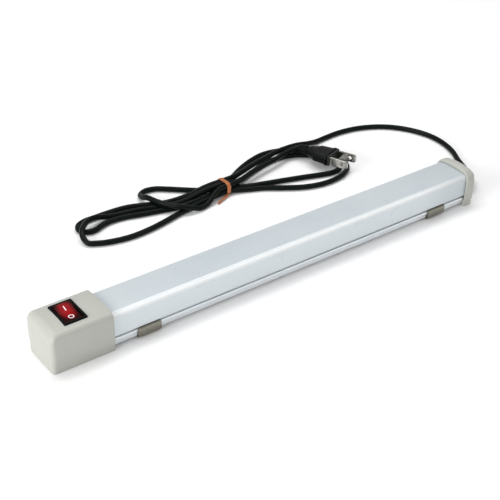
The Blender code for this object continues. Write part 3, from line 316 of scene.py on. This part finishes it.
def arc(centre, radius, start, stop, steps):
    """Points on an arc, in degrees."""
    turns = (math.radians(start + (stop - start) * i / steps) for i in range(steps + 1))
    return [(centre[0] + radius * math.cos(t), centre[1] + radius * math.sin(t)) for t in turns]


def mirrored(half):
    """A closed outline from its right half, listed from the bottom middle to the top middle."""
    return half + [(-y, z) for y, z in reversed(half) if y > 1e-9]


def loft(rings, closed=False):
    """A skin through rings of points, with its ends filled, or joined end to end."""
    bm = bmesh.new()
    made = [[bm.verts.new(point) for point in ring] for ring in rings]
    for first, second in zip(made, made[1:] + (made[:1] if closed else [])):
        for i in range(len(first)):
            j = (i + 1) % len(first)
            bm.faces.new((first[i], first[j], second[j], second[i]))
    if not closed:
        bm.faces.new(made[0])
        bm.faces.new(made[-1])
    return bm


def prism(outline, axis, low, high):
    """An outline of two coordinates, pushed along the third from low to high."""
    def point(pair, level):
        values = list(pair)
        values.insert("XYZ".index(axis), level)
        return Vector(values)

    return loft([[point(pair, level) for pair in outline] for level in (low, high)])


def at_x(x, outline):
    return [(x, y, z) for y, z in outline]


def rounded_rectangle(width, length, radius, steps=5):
    """An outline round zero, anticlockwise, with round corners."""
    across, along = width / 2 - radius, length / 2 - radius
    points = []
    corners = ((across, along, 0), (-across, along, 90), (-across, -along, 180), (across, -along, 270))
    for x, y, start in corners:
        points += arc((x, y), radius, start, start + 90, steps)
    return points


# Edges sharper than this, in degrees, stay sharp in the shading
SHARP_ANGLE = 35


def add(name, bm, look, body, replaced=(), smooth=SHARP_ANGLE, bevel=0.0):
    """Makes a bmesh a piece that rides on a body, takes a slot's finish and replaces CAD nodes."""
    bmesh.ops.recalc_face_normals(bm, faces=bm.faces)
    mesh = bpy.data.meshes.new(name)
    bm.to_mesh(mesh)
    bm.free()
    mesh.materials.append(LOOKS[look])
    mesh.shade_smooth()
    mesh.set_sharp_from_angle(angle=math.radians(smooth))
    piece = bpy.data.objects.new(name, mesh)
    bpy.context.scene.collection.objects.link(piece)
    if bevel:
        edge = piece.modifiers.new("edges", "BEVEL")
        edge.width = bevel
        edge.segments = 3
        edge.limit_method = "ANGLE"
        edge.angle_limit = math.radians(40)
        edge.harden_normals = True
    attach(piece, body)
    if replaced:
        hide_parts(*replaced)
    return piece


# ---------------------------------------------------------------- end caps

CAP_WALL = 1.8 * MM
CAP_TOP = SWITCH_CAP_HIGH[2] - 0.8 * MM
CAP_CROWN = 0.8 * MM
CAP_FOOT_HALF = CAP_HALF - 0.7 * MM
CAP_FOOT_RADIUS = 0.8 * MM
CAP_CREASE = 5.2 * MM
CAP_CREASE_AT_END = 8.9 * MM
CAP_STEP = 0.6 * MM
CAP_DOME = 0.7 * MM
# Each cap's corner, the rounding of its end at the sides and at the top, and the easing of its rim
SWITCH_CAP_CORNER, SWITCH_CAP_ROUND, SWITCH_CAP_EASE = 3.4 * MM, (2.6 * MM, 5.0 * MM), 0.35 * MM
CORD_CAP_CORNER, CORD_CAP_ROUND, CORD_CAP_EASE = 7.4 * MM, (3.2 * MM, 4.2 * MM), 0.8 * MM
CORD_CAP_RISE = 0.3 * MM
SOCKET_CORNER, SOCKET_CROWN = 5.6 * MM, 0.6 * MM
CORD_HOLE_RADIUS = 4.0 * MM
# How much smaller the switch's window is than the bezel, and how far its cut runs each way
WINDOW_MARGIN = 0.8 * MM
WINDOW_CUT = 4 * MM


def cap_section(top, crown, corner, inset=0.0, lean=0.0, drop=0.0, crease=CAP_CREASE):
    """An end cap's outline in Y and Z: flat foot, crease in each side, round corner, crowned top."""
    side = CAP_HALF - inset - lean
    base = CAP_FOOT_HALF - inset - lean
    floor = inset
    roof = top - inset - drop
    radius = max(corner - inset, corner * 0.3)
    right = [(base - CAP_FOOT_RADIUS * 3, floor)]
    right += arc((base - CAP_FOOT_RADIUS, floor + CAP_FOOT_RADIUS), CAP_FOOT_RADIUS, -90, 0, 5)
    right += [(base, crease - CAP_STEP), (side, crease)]
    right += arc((side - radius, roof - radius), radius, 0, 90, 16)
    span = side - radius
    right += [(span * (1 - i / 8), roof + crown * (1 - (1 - i / 8) ** 2)) for i in range(1, 9)]
    return mirrored(right)


def rounded_end(end_x, way, section, side_round, top_round):
    """Rings of a cap's domed and rounded end, from the middle of the end face outwards."""
    def slope(radius, depth):
        return radius - math.sqrt(max(0.0, radius**2 - max(0.0, radius - depth) ** 2))

    face = section(lean=side_round, drop=top_round)
    middle = (min(z for _, z in face) + max(z for _, z in face)) / 2
    rings = []
    inner = 0.12
    for i in range(9):
        share = inner + (0.965 - inner) * i / 8
        depth = CAP_DOME * (share**2 - inner**2) / (1 - inner**2)
        rings.append([(end_x + way * depth, y * share, middle + (z - middle) * share) for y, z in face])
    deepest = max(side_round, top_round)
    for i in range(15):
        depth = deepest * (1 - math.cos(math.pi / 2 * i / 14))
        ring = section(lean=slope(side_round, depth), drop=slope(top_round, depth))
        rings.append([(end_x + way * (CAP_DOME + depth), y, z) for y, z in ring])
    return rings


def rim_rings(x, way, section, ease):
    """The rim's rounded outer edge, from the outside to the end."""
    rings = []
    for i in range(5):
        angle = math.pi / 2 * i / 4
        inset = ease * (1 - math.cos(angle))
        rings.append(at_x(x - way * ease * (1 - math.sin(angle)), section(inset=inset)))
    return rings


def cut(piece, tool, name):
    """Cuts a closed shape out of a piece for good."""
    bmesh.ops.recalc_face_normals(tool, faces=tool.faces)
    mesh = bpy.data.meshes.new(name)
    tool.to_mesh(mesh)
    tool.free()
    cutter = bpy.data.objects.new(name, mesh)
    bpy.context.scene.collection.objects.link(cutter)
    step = piece.modifiers.new(name, "BOOLEAN")
    step.object = cutter
    step.solver = "EXACT"
    bpy.context.view_layer.update()
    evaluated = piece.evaluated_get(bpy.context.evaluated_depsgraph_get())
    cut_mesh = bpy.data.meshes.new_from_object(evaluated)
    piece.modifiers.clear()
    old = piece.data
    piece.data = cut_mesh
    bpy.data.meshes.remove(old)
    bpy.data.objects.remove(cutter)
    piece.data.set_sharp_from_angle(angle=math.radians(SHARP_ANGLE))


def make_switch_cap():
    def section(inset=0.0, lean=0.0, drop=0.0, crown=CAP_CROWN):
        return cap_section(CAP_TOP, crown, SWITCH_CAP_CORNER, inset, lean, drop)

    def end_section(lean=0.0, drop=0.0):
        return cap_section(CAP_TOP, CAP_CROWN, SWITCH_CAP_CORNER, 0.0, lean, drop, CAP_CREASE_AT_END)

    end, rim = SWITCH_CAP_LOW[0], SWITCH_CAP_HIGH[0]
    tube = COVER_LOW[0] - GAP
    rings = rounded_end(end, 1, end_section, *SWITCH_CAP_ROUND)
    rings += rim_rings(rim, 1, section, SWITCH_CAP_EASE)
    rings.append(at_x(rim, section(inset=CAP_WALL)))
    rings.append(at_x(tube, section(inset=CAP_WALL)))
    rings.append(at_x(end + CAP_DOME + 5 * MM, section(inset=CAP_WALL, crown=0.0)))
    rings.append(at_x(end + CAP_DOME + CAP_WALL, section(CAP_WALL, 1.2 * MM, 2.4 * MM, 0.0)))
    cap = add("switch_cap_shell", loft(rings), "cap_plastic", "light", ["switch_end_cap"])
    width = HOUSING_HIGH[0] - HOUSING_LOW[0]
    length = HOUSING_HIGH[1] - HOUSING_LOW[1]
    window = rounded_rectangle(width - WINDOW_MARGIN, length - WINDOW_MARGIN, 0.5 * MM)
    outline = [(PIVOT.x + x, y) for x, y in window]
    cut(cap, prism(outline, "Z", CAP_TOP - WINDOW_CUT, CAP_TOP + WINDOW_CUT), "switch_window")


def make_cord_cap():
    top = CAP_TOP + CORD_CAP_RISE

    def section(inset=0.0, lean=0.0, drop=0.0):
        return cap_section(top, CAP_CROWN, CORD_CAP_CORNER, inset, lean, drop)

    rim = CORD_CAP_LOW[0]
    socket = cap_section(CAP_TOP, SOCKET_CROWN, SOCKET_CORNER, CAP_WALL)
    rings = rounded_end(CORD_END, -1, section, *CORD_CAP_ROUND)
    rings += rim_rings(rim, -1, section, CORD_CAP_EASE)
    rings.append(at_x(rim, socket))
    rings.append(at_x(COVER_HIGH[0] + GAP, socket))
    cap = add("cord_cap_shell", loft(rings), "cap_plastic", "light", ["cord_end_cap"])
    radius = CORD_HOLE_RADIUS
    outline = [(radius * math.cos(a), EXIT.z + radius * math.sin(a)) for a in STEPS_ROUND]
    hole = prism(outline, "X", CORD_END - 6 * MM, CORD_END + 2 * MM)
    cut(cap, hole, "cord_hole")


# ---------------------------------------------------------------- cover and channel

def make_cover():
    half = COVER_HIGH[1]
    crown = 0.6 * MM
    top = COVER_HIGH[2] - crown
    wall, round_top = 1.5 * MM, 3.5 * MM
    foot = COVER_LOW[2]
    rib = (10.1 * MM, 11.1 * MM)
    corner = (half - round_top, top - round_top)
    ease = 0.4 * MM
    outer = arc((half - ease, foot + ease), ease, -90, 0, 4) + arc(corner, round_top, 0, 90, 20)
    crown_line = [(i / 10, top + crown * (1 - (i / 10) ** 2)) for i in range(10)]
    outer += [(corner[0] * share, z) for share, z in reversed(crown_line)]
    inside = [(corner[0] * share, z - wall) for share, z in crown_line]
    inside += reversed(arc(corner, round_top - wall, 0, 90, 8))
    inner = half - wall
    inside += [(inner, rib[1]), (inner - 0.7 * MM, rib[1]), (inner - 0.7 * MM, rib[0]), (inner, rib[0])]
    inside.append((inner, foot))
    right_outer, right_inner = outer[:-1], inside[1:]
    outline = right_outer + [outer[-1]] + [(-y, z) for y, z in reversed(right_outer)]
    outline += [(-y, z) for y, z in reversed(right_inner)] + [inside[0]] + right_inner
    skin = prism(outline, "X", COVER_LOW[0], COVER_HIGH[0])
    add("cover_skin", skin, "frosted_cover", "light", ["diffuser"])


def soften(node, name, body, bevel):
    """A copy of a CAD node with its flat faces joined up and its edges rounded."""
    slot = SLOTS[node]
    bm = bmesh.new()
    bm.from_mesh(frame["nodes"][node].data)
    bmesh.ops.remove_doubles(bm, verts=bm.verts, dist=1e-6)
    bmesh.ops.dissolve_limit(bm, angle_limit=math.radians(0.5), verts=bm.verts, edges=bm.edges)
    return add(name, bm, slot, body, [node], bevel=bevel)


# ---------------------------------------------------------------- switch

def make_housing():
    """The switch's body and its bezel, with round corners and a softened inner edge."""
    top = HOUSING_HIGH[2]
    width = HOUSING_HIGH[0] - HOUSING_LOW[0]
    length = HOUSING_HIGH[1] - HOUSING_LOW[1]
    body = (13.2 * MM, 18.8 * MM)
    window = (11.8 * MM, 17.4 * MM)
    under = top - 1.7 * MM

    def ring(size, radius, z):
        return [(PIVOT.x + x, y, z) for x, y in rounded_rectangle(*size, radius)]

    soft = 0.35 * MM
    rings = [
        ring(body, 0.4 * MM, HOUSING_LOW[2]),
        ring(body, 0.4 * MM, under),
        ring((width, length), 0.7 * MM, under),
        ring((width, length), 0.7 * MM, top - soft),
        ring((width - 0.3 * soft, length - 0.3 * soft), 0.65 * MM, top - 0.4 * soft),
        ring((width - soft, length - soft), 0.6 * MM, top - 0.1 * soft),
        ring((width - 2 * soft, length - 2 * soft), 0.5 * MM, top),
        ring((window[0] + 2 * soft, window[1] + 2 * soft), 0.6 * MM, top),
        ring((window[0] + 0.5 * soft, window[1] + 0.5 * soft), 0.4 * MM, top - 0.3 * soft),
        ring(window, 0.3 * MM, top - soft),
        ring(window, 0.3 * MM, HOUSING_LOW[2] + 1.0 * MM),
    ]
    add("switch_bezel", loft(rings), "black_plastic", "light", ["switch_housing"])


ROCKER_WIDTH = 11.2 * MM
ROCKER_REACH = 7.9 * MM
ROCKER_RISE = 2.2 * MM
ROCKER_DIP = 1.2 * MM


def make_rocker():
    """The rocker, tilted to its rest, with an I and an O printed on its two slopes."""
    sweep = math.hypot(ROCKER_REACH, ROCKER_RISE)
    top_angle = math.degrees(math.atan2(ROCKER_RISE, ROCKER_REACH))
    slope = math.atan2(ROCKER_RISE - ROCKER_DIP, ROCKER_REACH)
    outer = [(0.0, ROCKER_DIP), (ROCKER_REACH * 0.15, ROCKER_DIP + ROCKER_REACH * 0.15 * math.tan(slope))]
    outer += reversed(arc((0, 0), sweep, -20, top_angle, 12))
    outline = outer + [(-y, z) for y, z in reversed(outer[1:])]
    half = ROCKER_WIDTH / 2
    tilt = Matrix.Translation(PIVOT) @ Matrix.Rotation(ROCKER_TRAVEL / 2, 4, "X")
    skin = prism(outline, "X", -half, half)
    skin.transform(tilt)
    add("rocker_skin", skin, "red_rocker", "rocker_body", ["rocker"], bevel=0.4 * MM)

    def on_slope(side, y):
        """A place on one slope, with its own Z square to it."""
        z = ROCKER_DIP + y * math.tan(slope)
        return tilt @ Matrix.Translation((0, side * y, z)) @ Matrix.Rotation(side * slope, 4, "X")

    proud = 0.04 * MM
    bar = prism(rounded_rectangle(0.62 * MM, 3.6 * MM, 0.12 * MM), "Z", -proud, proud)
    bar.transform(on_slope(1, 3.7 * MM))
    add("mark_on", bar, "white_mark", "rocker_body")
    rings = []
    for radius, z in ((1.75, -1), (1.75, 1), (1.2, 1), (1.2, -1)):
        rings.append([(radius * MM * math.cos(a), radius * MM * math.sin(a), z * proud) for a in STEPS_ROUND])
    ring = loft(rings, closed=True)
    ring.transform(on_slope(-1, 4.1 * MM))
    add("mark_off", ring, "white_mark", "rocker_body")


# ---------------------------------------------------------------- cord

STEPS_ROUND = [2 * math.pi * i / 48 for i in range(48)]
CORD_DIAMETER = 4.0 * MM
# The cord's middle line in millimetres: out of the cap, round to the hank, and its runs through the tie
LEAD_IN = (
    (154.0, 0.0, 8.35),
    (162.0, 0.0, 8.35),
    (170.0, 0.0, 8.35),
    (176.2, 0.2, 8.3),
    (182.4, 2.1, 7.6),
    (188.3, 6.8, 6.3),
    (194.0, 14.0, 4.7),
    (199.9, 23.4, 3.1),
    (206.0, 35.0, 2.1),
    (212.8, 48.0, 2.1),
    (216.6, 62.0, 2.1),
    (216.6, 77.0, 2.1),
    (212.0, 91.0, 2.1),
    (200.5, 107.0, 2.1),
    (180.0, 119.0, 2.1),
    (161.5, 122.5, 2.1),
    (144.0, 121.8, 2.1),
    (134.0, 120.4, 2.4),
    (124.0, 119.3, 4.0),
    (113.0, 118.7, 6.2),
    (97.5, 118.9, 6.4),
    (80.2, 115.6, 6.4),
    (62.7, 111.3, 6.4),
    (50.0, 107.2, 6.4),
    (44.0, 105.2, 6.7),
    (38.0, 103.9, 7.2),
    (30.0, 103.65, 7.35),
)
FIRST_FOLD = (
    (22.0, 104.1, 7.0),
    (15.0, 105.2, 5.6),
    (6.0, 106.4, 3.2),
    (-4.0, 107.2, 2.1),
    (-15.0, 108.2, 2.1),
    (-27.4, 113.0, 2.1),
    (-41.9, 118.2, 2.1),
    (-56.9, 119.2, 2.1),
    (-67.0, 119.0, 2.1),
    (-75.5, 118.6, 2.1),
    (-81.8, 115.6, 2.1),
    (-83.8, 110.2, 2.1),
    (-80.8, 105.3, 2.1),
    (-75.0, 104.4, 2.1),
    (-69.0, 106.6, 2.1),
    (-63.0, 108.3, 2.1),
    (-53.4, 108.2, 2.1),
    (-36.9, 104.0, 2.1),
    (-24.2, 100.9, 2.1),
    (-12.5, 97.8, 2.1),
    (0.0, 97.6, 2.1),
    (8.0, 98.2, 2.1),
    (16.0, 98.9, 2.3),
    (23.0, 99.4, 3.0),
    (30.0, 99.6, 3.25),
)
INNER_RIGHT = (
    (38.0, 97.4, 2.6),
    (45.0, 94.8, 2.1),
    (58.2, 90.6, 2.1),
    (76.4, 85.4, 2.1),
    (94.4, 79.8, 2.1),
    (105.0, 76.3, 2.1),
    (113.0, 74.6, 2.1),
    (120.0, 76.0, 2.1),
    (124.0, 81.5, 2.1),
    (124.6, 89.0, 2.1),
    (121.5, 97.5, 2.1),
    (115.5, 105.5, 2.1),
    (108.0, 111.5, 2.1),
    (98.0, 115.2, 2.1),
    (88.0, 116.0, 2.1),
    (80.0, 114.8, 2.1),
    (70.0, 112.0, 2.1),
    (60.0, 108.6, 2.1),
    (50.0, 104.6, 2.3),
    (44.0, 102.0, 3.6),
    (38.0, 100.2, 5.9),
    (30.0, 99.6, 7.35),
)
BIG_LEFT = (
    (22.0, 100.0, 7.2),
    (15.0, 100.8, 6.2),
    (8.0, 101.6, 4.6),
    (0.0, 102.2, 2.8),
    (-8.0, 102.6, 2.1),
    (-15.0, 103.6, 2.1),
    (-25.0, 107.0, 2.1),
    (-40.0, 111.3, 2.1),
    (-54.0, 113.9, 2.1),
    (-62.0, 114.6, 3.2),
    (-68.0, 114.2, 5.2),
    (-75.0, 112.2, 6.3),
    (-81.0, 108.0, 6.3),
    (-85.3, 103.0, 6.2),
    (-87.6, 97.5, 4.2),
    (-87.0, 92.8, 2.4),
    (-81.0, 88.6, 2.1),
    (-71.8, 85.2, 2.1),
    (-59.3, 83.2, 2.1),
    (-44.7, 83.9, 2.1),
    (-28.0, 87.0, 2.1),
    (-14.3, 90.4, 2.1),
    (-4.0, 92.3, 2.1),
    (6.0, 94.2, 2.1),
    (15.0, 95.2, 2.2),
    (23.0, 95.4, 3.0),
    (30.0, 95.55, 3.25),
)
OUTER_RIGHT = (
    (38.0, 93.0, 2.5),
    (45.0, 90.0, 2.1),
    (54.5, 85.8, 2.1),
    (68.8, 76.5, 2.1),
    (80.1, 70.0, 2.1),
    (93.7, 65.8, 2.1),
    (107.6, 65.6, 2.1),
    (118.0, 68.2, 2.1),
    (126.5, 74.0, 2.1),
    (131.3, 82.5, 2.1),
    (131.3, 93.0, 2.1),
    (127.5, 102.0, 2.1),
    (120.5, 111.0, 2.1),
    (112.0, 118.6, 2.1),
    (104.5, 123.4, 2.1),
    (96.5, 126.3, 2.1),
    (86.0, 127.4, 2.1),
    (72.2, 124.3, 2.1),
    (55.9, 117.3, 2.1),
    (46.0, 111.6, 2.1),
    (40.0, 108.0, 2.2),
    (35.0, 105.2, 2.8),
    (30.0, 103.65, 3.25),
)
SMALL_LEFT = (
    (24.0, 104.3, 3.0),
    (16.3, 108.0, 2.2),
    (6.4, 115.5, 2.1),
    (-4.0, 124.2, 2.1),
    (-11.0, 129.3, 2.1),
    (-19.0, 130.6, 2.1),
    (-24.8, 127.0, 2.4),
    (-26.3, 121.5, 3.8),
    (-25.6, 115.5, 6.1),
    (-23.5, 108.0, 6.3),
    (-20.9, 102.0, 6.3),
    (-17.0, 96.0, 6.3),
    (-12.5, 91.2, 6.2),
    (-6.0, 88.4, 4.4),
    (1.0, 87.7, 2.4),
    (8.4, 89.4, 2.4),
    (14.0, 91.6, 4.6),
    (19.0, 93.9, 6.6),
    (24.0, 95.2, 7.3),
    (30.0, 95.55, 7.35),
)
TO_PLUG = (
    (38.0, 96.2, 7.2),
    (45.0, 98.6, 6.5),
    (55.7, 102.4, 6.3),
    (69.5, 106.2, 6.3),
    (85.1, 109.6, 6.3),
    (94.0, 112.2, 6.3),
    (101.0, 113.2, 7.2),
    (108.5, 111.3, 8.4),
)
EXIT = Vector(LEAD_IN[2]) * MM
CORD_ROUTE = LEAD_IN + FIRST_FOLD + INNER_RIGHT + BIG_LEFT + OUTER_RIGHT + SMALL_LEFT + TO_PLUG


def smooth_path(points, steps):
    """Points on a smooth curve through the given ones, steps to each stretch between two of them."""
    chords = [b - a for a, b in zip(points, points[1:])]
    ways = [chords[0].normalized()]
    for a, b in zip(chords, chords[1:]):
        ways.append((a.normalized() * b.length + b.normalized() * a.length) / (a.length + b.length))
    ways.append(chords[-1].normalized())
    fine = []
    for point, chord, way, next_way in zip(points, chords, ways, ways[1:]):
        for i in range(steps):
            t = i / steps
            swing = way * t * (1 - t) ** 2 - next_way * t**2 * (1 - t)
            fine.append(point + chord * t**2 * (3 - 2 * t) + swing * chord.length)
    fine.append(points[-1])
    return fine


def make_cord():
    path = smooth_path([Vector(p) * MM for p in CORD_ROUTE], 6)
    curve = bpy.data.curves.new("mains_cord", "CURVE")
    curve.dimensions = "3D"
    curve.bevel_depth = CORD_DIAMETER / 2
    curve.bevel_resolution = 6
    curve.use_fill_caps = True
    spline = curve.splines.new("POLY")
    spline.points.add(len(path) - 1)
    for target, point in zip(spline.points, path):
        target.co = (*point, 1.0)
    curve.materials.append(LOOKS["cord_black"])
    cord = bpy.data.objects.new("mains_cord", curve)
    bpy.context.scene.collection.objects.link(cord)
    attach(cord, "light")
    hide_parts("cord_inner", "cord_lead", "cord_hank")
    return cord, path


PLUG_TAIL = Vector(TO_PLUG[-1]) * MM
PLUG_FACE = Vector((118.5, 83.0, 9.8)) * MM
PLUG_LENGTH = 30.0 * MM
# Where the strain relief starts, meets the wall and stops, along the cord
BUSH_START = 13.0 * MM
BUSH_WALL = 16.3 * MM
BUSH_END = 40.0 * MM
TIE_X = 30.0
TIE_STRANDS = ((95.55, 3.25), (103.65, 3.25), (103.65, 7.35), (95.55, 7.35))


def tube(stations, around=32):
    """A round body through (centre, direction, radius) stations."""
    rings = []
    for centre, way, radius in stations:
        side = way.cross(Vector((0, 0, 1))).normalized()
        up = side.cross(way)
        turns = (2 * math.pi * i / around for i in range(around))
        rings.append([centre + (side * math.cos(a) + up * math.sin(a)) * radius for a in turns])
    return loft(rings)


def on_path(path, distance):
    """The point at a distance along a path, and the direction there."""
    for a, b in zip(path, path[1:]):
        step = (b - a).length
        if distance <= step:
            return a.lerp(b, distance / step), (b - a).normalized()
        distance -= step
    return path[-1], (path[-1] - path[-2]).normalized()


# One rib of the strain relief: the share of its pitch, and how far it dips there
RIB_SHAPE = ((0.04, 0.15), (0.12, 0.0), (0.55, 0.0), (0.63, 0.15), (0.68, 0.7), (0.97, 0.75))


def make_bush(path):
    """The ribbed strain relief: a flange behind the wall, a neck through it, and tapering rings."""
    marks = [(BUSH_START, 4.2), (BUSH_START + 0.2 * MM, 4.4), (BUSH_START + 1.4 * MM, 4.4)]
    marks += [(BUSH_START + 1.5 * MM, 3.7), (BUSH_WALL - 0.1 * MM, 3.7), (BUSH_WALL, 4.2)]
    ribs = 9
    pitch = (BUSH_END - BUSH_WALL) / ribs
    for i in range(ribs):
        outer = 4.4 - 1.2 * i / ribs
        start = BUSH_WALL + pitch * i
        marks += [(start + pitch * share, outer - dip) for share, dip in RIB_SHAPE]
    marks += [(BUSH_END, 2.7), (BUSH_END + 0.5 * MM, 2.4)]
    stations = [(*on_path(path, distance), radius * MM) for distance, radius in marks]
    return add("bush_ribs", tube(stations), "cord_rubber", "light", ["cord_bush"], smooth=50)


def make_tie():
    """A copper-coloured band wound once round the bundle, with its two ends twisted together beside it."""
    outline = []
    starts = (180, 270, 0, 90)
    for (y, z), start in zip(TIE_STRANDS, starts):
        for i in range(9):
            angle = math.radians(start + 90 * i / 8)
            outline.append((y, z, angle))
    rings = []
    right_half = ((0.55, 2.42), (1.45, 2.38), (1.55, 2.12))
    profile = [(-x, radius) for x, radius in reversed(right_half)] + [(0.0, 2.72), *right_half]
    for number, (y, z, angle) in enumerate(outline):
        sway = 0.18 * math.sin(number * 1.7) + 0.10 * math.sin(number * 3.1)
        ring = []
        for x, radius in profile:
            crinkle = 1 + 0.035 * math.sin(number * 2.3 + x * 2.0) * (radius > 2.2)
            reach = radius * crinkle
            out, up = reach * math.cos(angle), reach * math.sin(angle)
            ring.append(Vector((TIE_X + x + sway, y + out, z + up)) * MM)
        rings.append(ring)
    wound = loft(rings, closed=True)
    band = add("tie_band", wound, "copper_tie", "light", ["cord_tie"], smooth=50)
    ends = []
    start, stop = Vector((29.6, 93.3, 1.6)), Vector((16.0, 87.2, 1.3))
    along = (stop - start).normalized()
    side = along.cross(Vector((0, 0, 1))).normalized()
    up = side.cross(along)
    for number in (0, 1):
        stations = []
        for i in range(41):
            share = i / 40
            turn = math.pi * 2 * 4.5 * share + math.pi * number
            centre = start.lerp(stop, share) + (side * math.cos(turn) + up * math.sin(turn)) * 0.45
            stations.append(centre * MM)
        ways = [(b - a).normalized() for a, b in zip(stations, stations[1:])]
        ways.append(ways[-1])
        radii = [0.5 * MM] * 39 + [0.4 * MM, 0.2 * MM]
        bm = tube(list(zip(stations, ways, radii)), 10)
        ends.append(add(f"tie_end_{number + 1}", bm, "copper_tie", "light", smooth=50))
    return [band, *ends]


def make_plug():
    """The plug: a ribbed tail, a flat body that widens to the face, and grip ridges on both narrow sides."""
    along = (PLUG_FACE - PLUG_TAIL).normalized()
    side = along.cross(Vector((0, 0, 1))).normalized()
    up = side.cross(along)
    stand = Matrix((along, side, up)).transposed().to_4x4()
    stand.translation = PLUG_FACE

    def ring(share, half_y, half_z, power):
        points = []
        for i in range(48):
            a = 2 * math.pi * i / 48
            c, s = math.cos(a), math.sin(a)
            y = math.copysign(abs(c) ** (2 / power), c) * half_y
            z = math.copysign(abs(s) ** (2 / power), s) * half_z
            points.append(Vector((share * PLUG_LENGTH, y * MM, z * MM)))
        return points

    stations = [(-1.0, 2.5, 2.5, 2.0), (-0.985, 2.8, 2.8, 2.0)]
    for i in range(5):
        start = -0.97 + 0.055 * i
        size = 3.1 + 0.12 * i
        stations += [(start, size, size, 2.0), (start + 0.028, size, size, 2.0)]
        stations.append((start + 0.034, size - 0.55, size - 0.55, 2.0))
        stations.append((start + 0.050, size - 0.5, size - 0.5, 2.0))
    stations += [(-0.68, 3.9, 3.6, 2.1), (-0.60, 5.2, 3.8, 2.4)]
    stations += [(-0.50, 7.0, 4.1, 2.7), (-0.44, 7.8, 4.3, 2.9)]
    for i in range(6):
        start = -0.41 + 0.055 * i
        width = 8.3 + 0.16 * i
        stations += [(start, width, 4.5, 3.3), (start + 0.028, width, 4.5, 3.3)]
        stations += [(start + 0.034, width - 0.4, 4.45, 3.3), (start + 0.050, width - 0.4, 4.45, 3.3)]
    stations += [(-0.07, 9.45, 4.75, 4.0), (-0.02, 9.5, 4.8, 4.2)]
    stations += [(-0.005, 9.3, 4.6, 4.2), (0.0, 8.9, 4.3, 4.0)]
    bm = loft([ring(*station) for station in stations])
    bm.transform(stand)
    return add("plug_shell", bm, "plug_plastic", "light", ["plug_body"], smooth=40)


# ---------------------------------------------------------------- light and floor

WORLD_STRENGTH = 0.46
FLOOR_HALF = 6.0


def make_stage():
    mesh = bpy.data.meshes.new("floor")
    bm = bmesh.new()
    bmesh.ops.create_grid(bm, x_segments=1, y_segments=1, size=FLOOR_HALF)
    bm.to_mesh(mesh)
    bm.free()
    mesh.materials.append(LOOKS["floor"])
    floor = bpy.data.objects.new("floor", mesh)
    bpy.context.scene.collection.objects.link(floor)

    world = bpy.data.worlds.new("studio")
    world.use_nodes = True
    world.node_tree.nodes["Background"].inputs["Color"].default_value = (1.0, 1.0, 1.0, 1.0)
    world.node_tree.nodes["Background"].inputs["Strength"].default_value = WORLD_STRENGTH
    bpy.context.scene.world = world
    # name, place, size and power in watts
    lamps = (
        ("key_light", (-1.3, -0.1, 0.5), (0.8, 0.6), 12.0),
        ("top_light", (0.1, 0.45, 1.3), (1.6, 0.5), 11.0),
        ("line_light", (0.0, -0.95, 1.05), (2.4, 0.08), 2.4),
    )
    for name, place, size, power in lamps:
        data = bpy.data.lights.new(name, "AREA")
        data.shape = "RECTANGLE"
        data.size, data.size_y = size
        data.energy = power
        lamp = bpy.data.objects.new(name, data)
        lamp.location = place
        lamp.rotation_euler = (-Vector(place)).to_track_quat("-Z", "Y").to_euler()
        bpy.context.scene.collection.objects.link(lamp)


# ---------------------------------------------------------------- CAD nodes that stay

def dress_nodes():
    """Every CAD node gets the finish of its material slot."""
    for entry in frame["record"]["subparts"]:
        node = frame["nodes"][entry["node"]]
        node.data.materials.clear()
        node.data.materials.append(LOOKS[entry["material_slot"]])


LOOKS = make_materials()
bpy.context.scene.view_settings.view_transform = "Standard"
make_camera()
mains_cord, cord_path = make_cord()
make_switch_cap()
make_cord_cap()
make_cover()
make_housing()
make_rocker()
soften("base_channel", "channel", "light", 0.12 * MM)
soften("mounting_clip_1", "clip_skin_1", "clip_1", 0.10 * MM)
soften("mounting_clip_2", "clip_skin_2", "clip_2", 0.10 * MM)
on_cord = [make_bush(cord_path), *make_tie(), make_plug()]
on_cord.append(soften("plug_insert", "plug_face", "light", 0.25 * MM))
on_cord += [soften(f"plug_blade_{number}", f"blade_{number}", "light", 0.2 * MM) for number in (1, 2)]
dress_nodes()
make_stage()
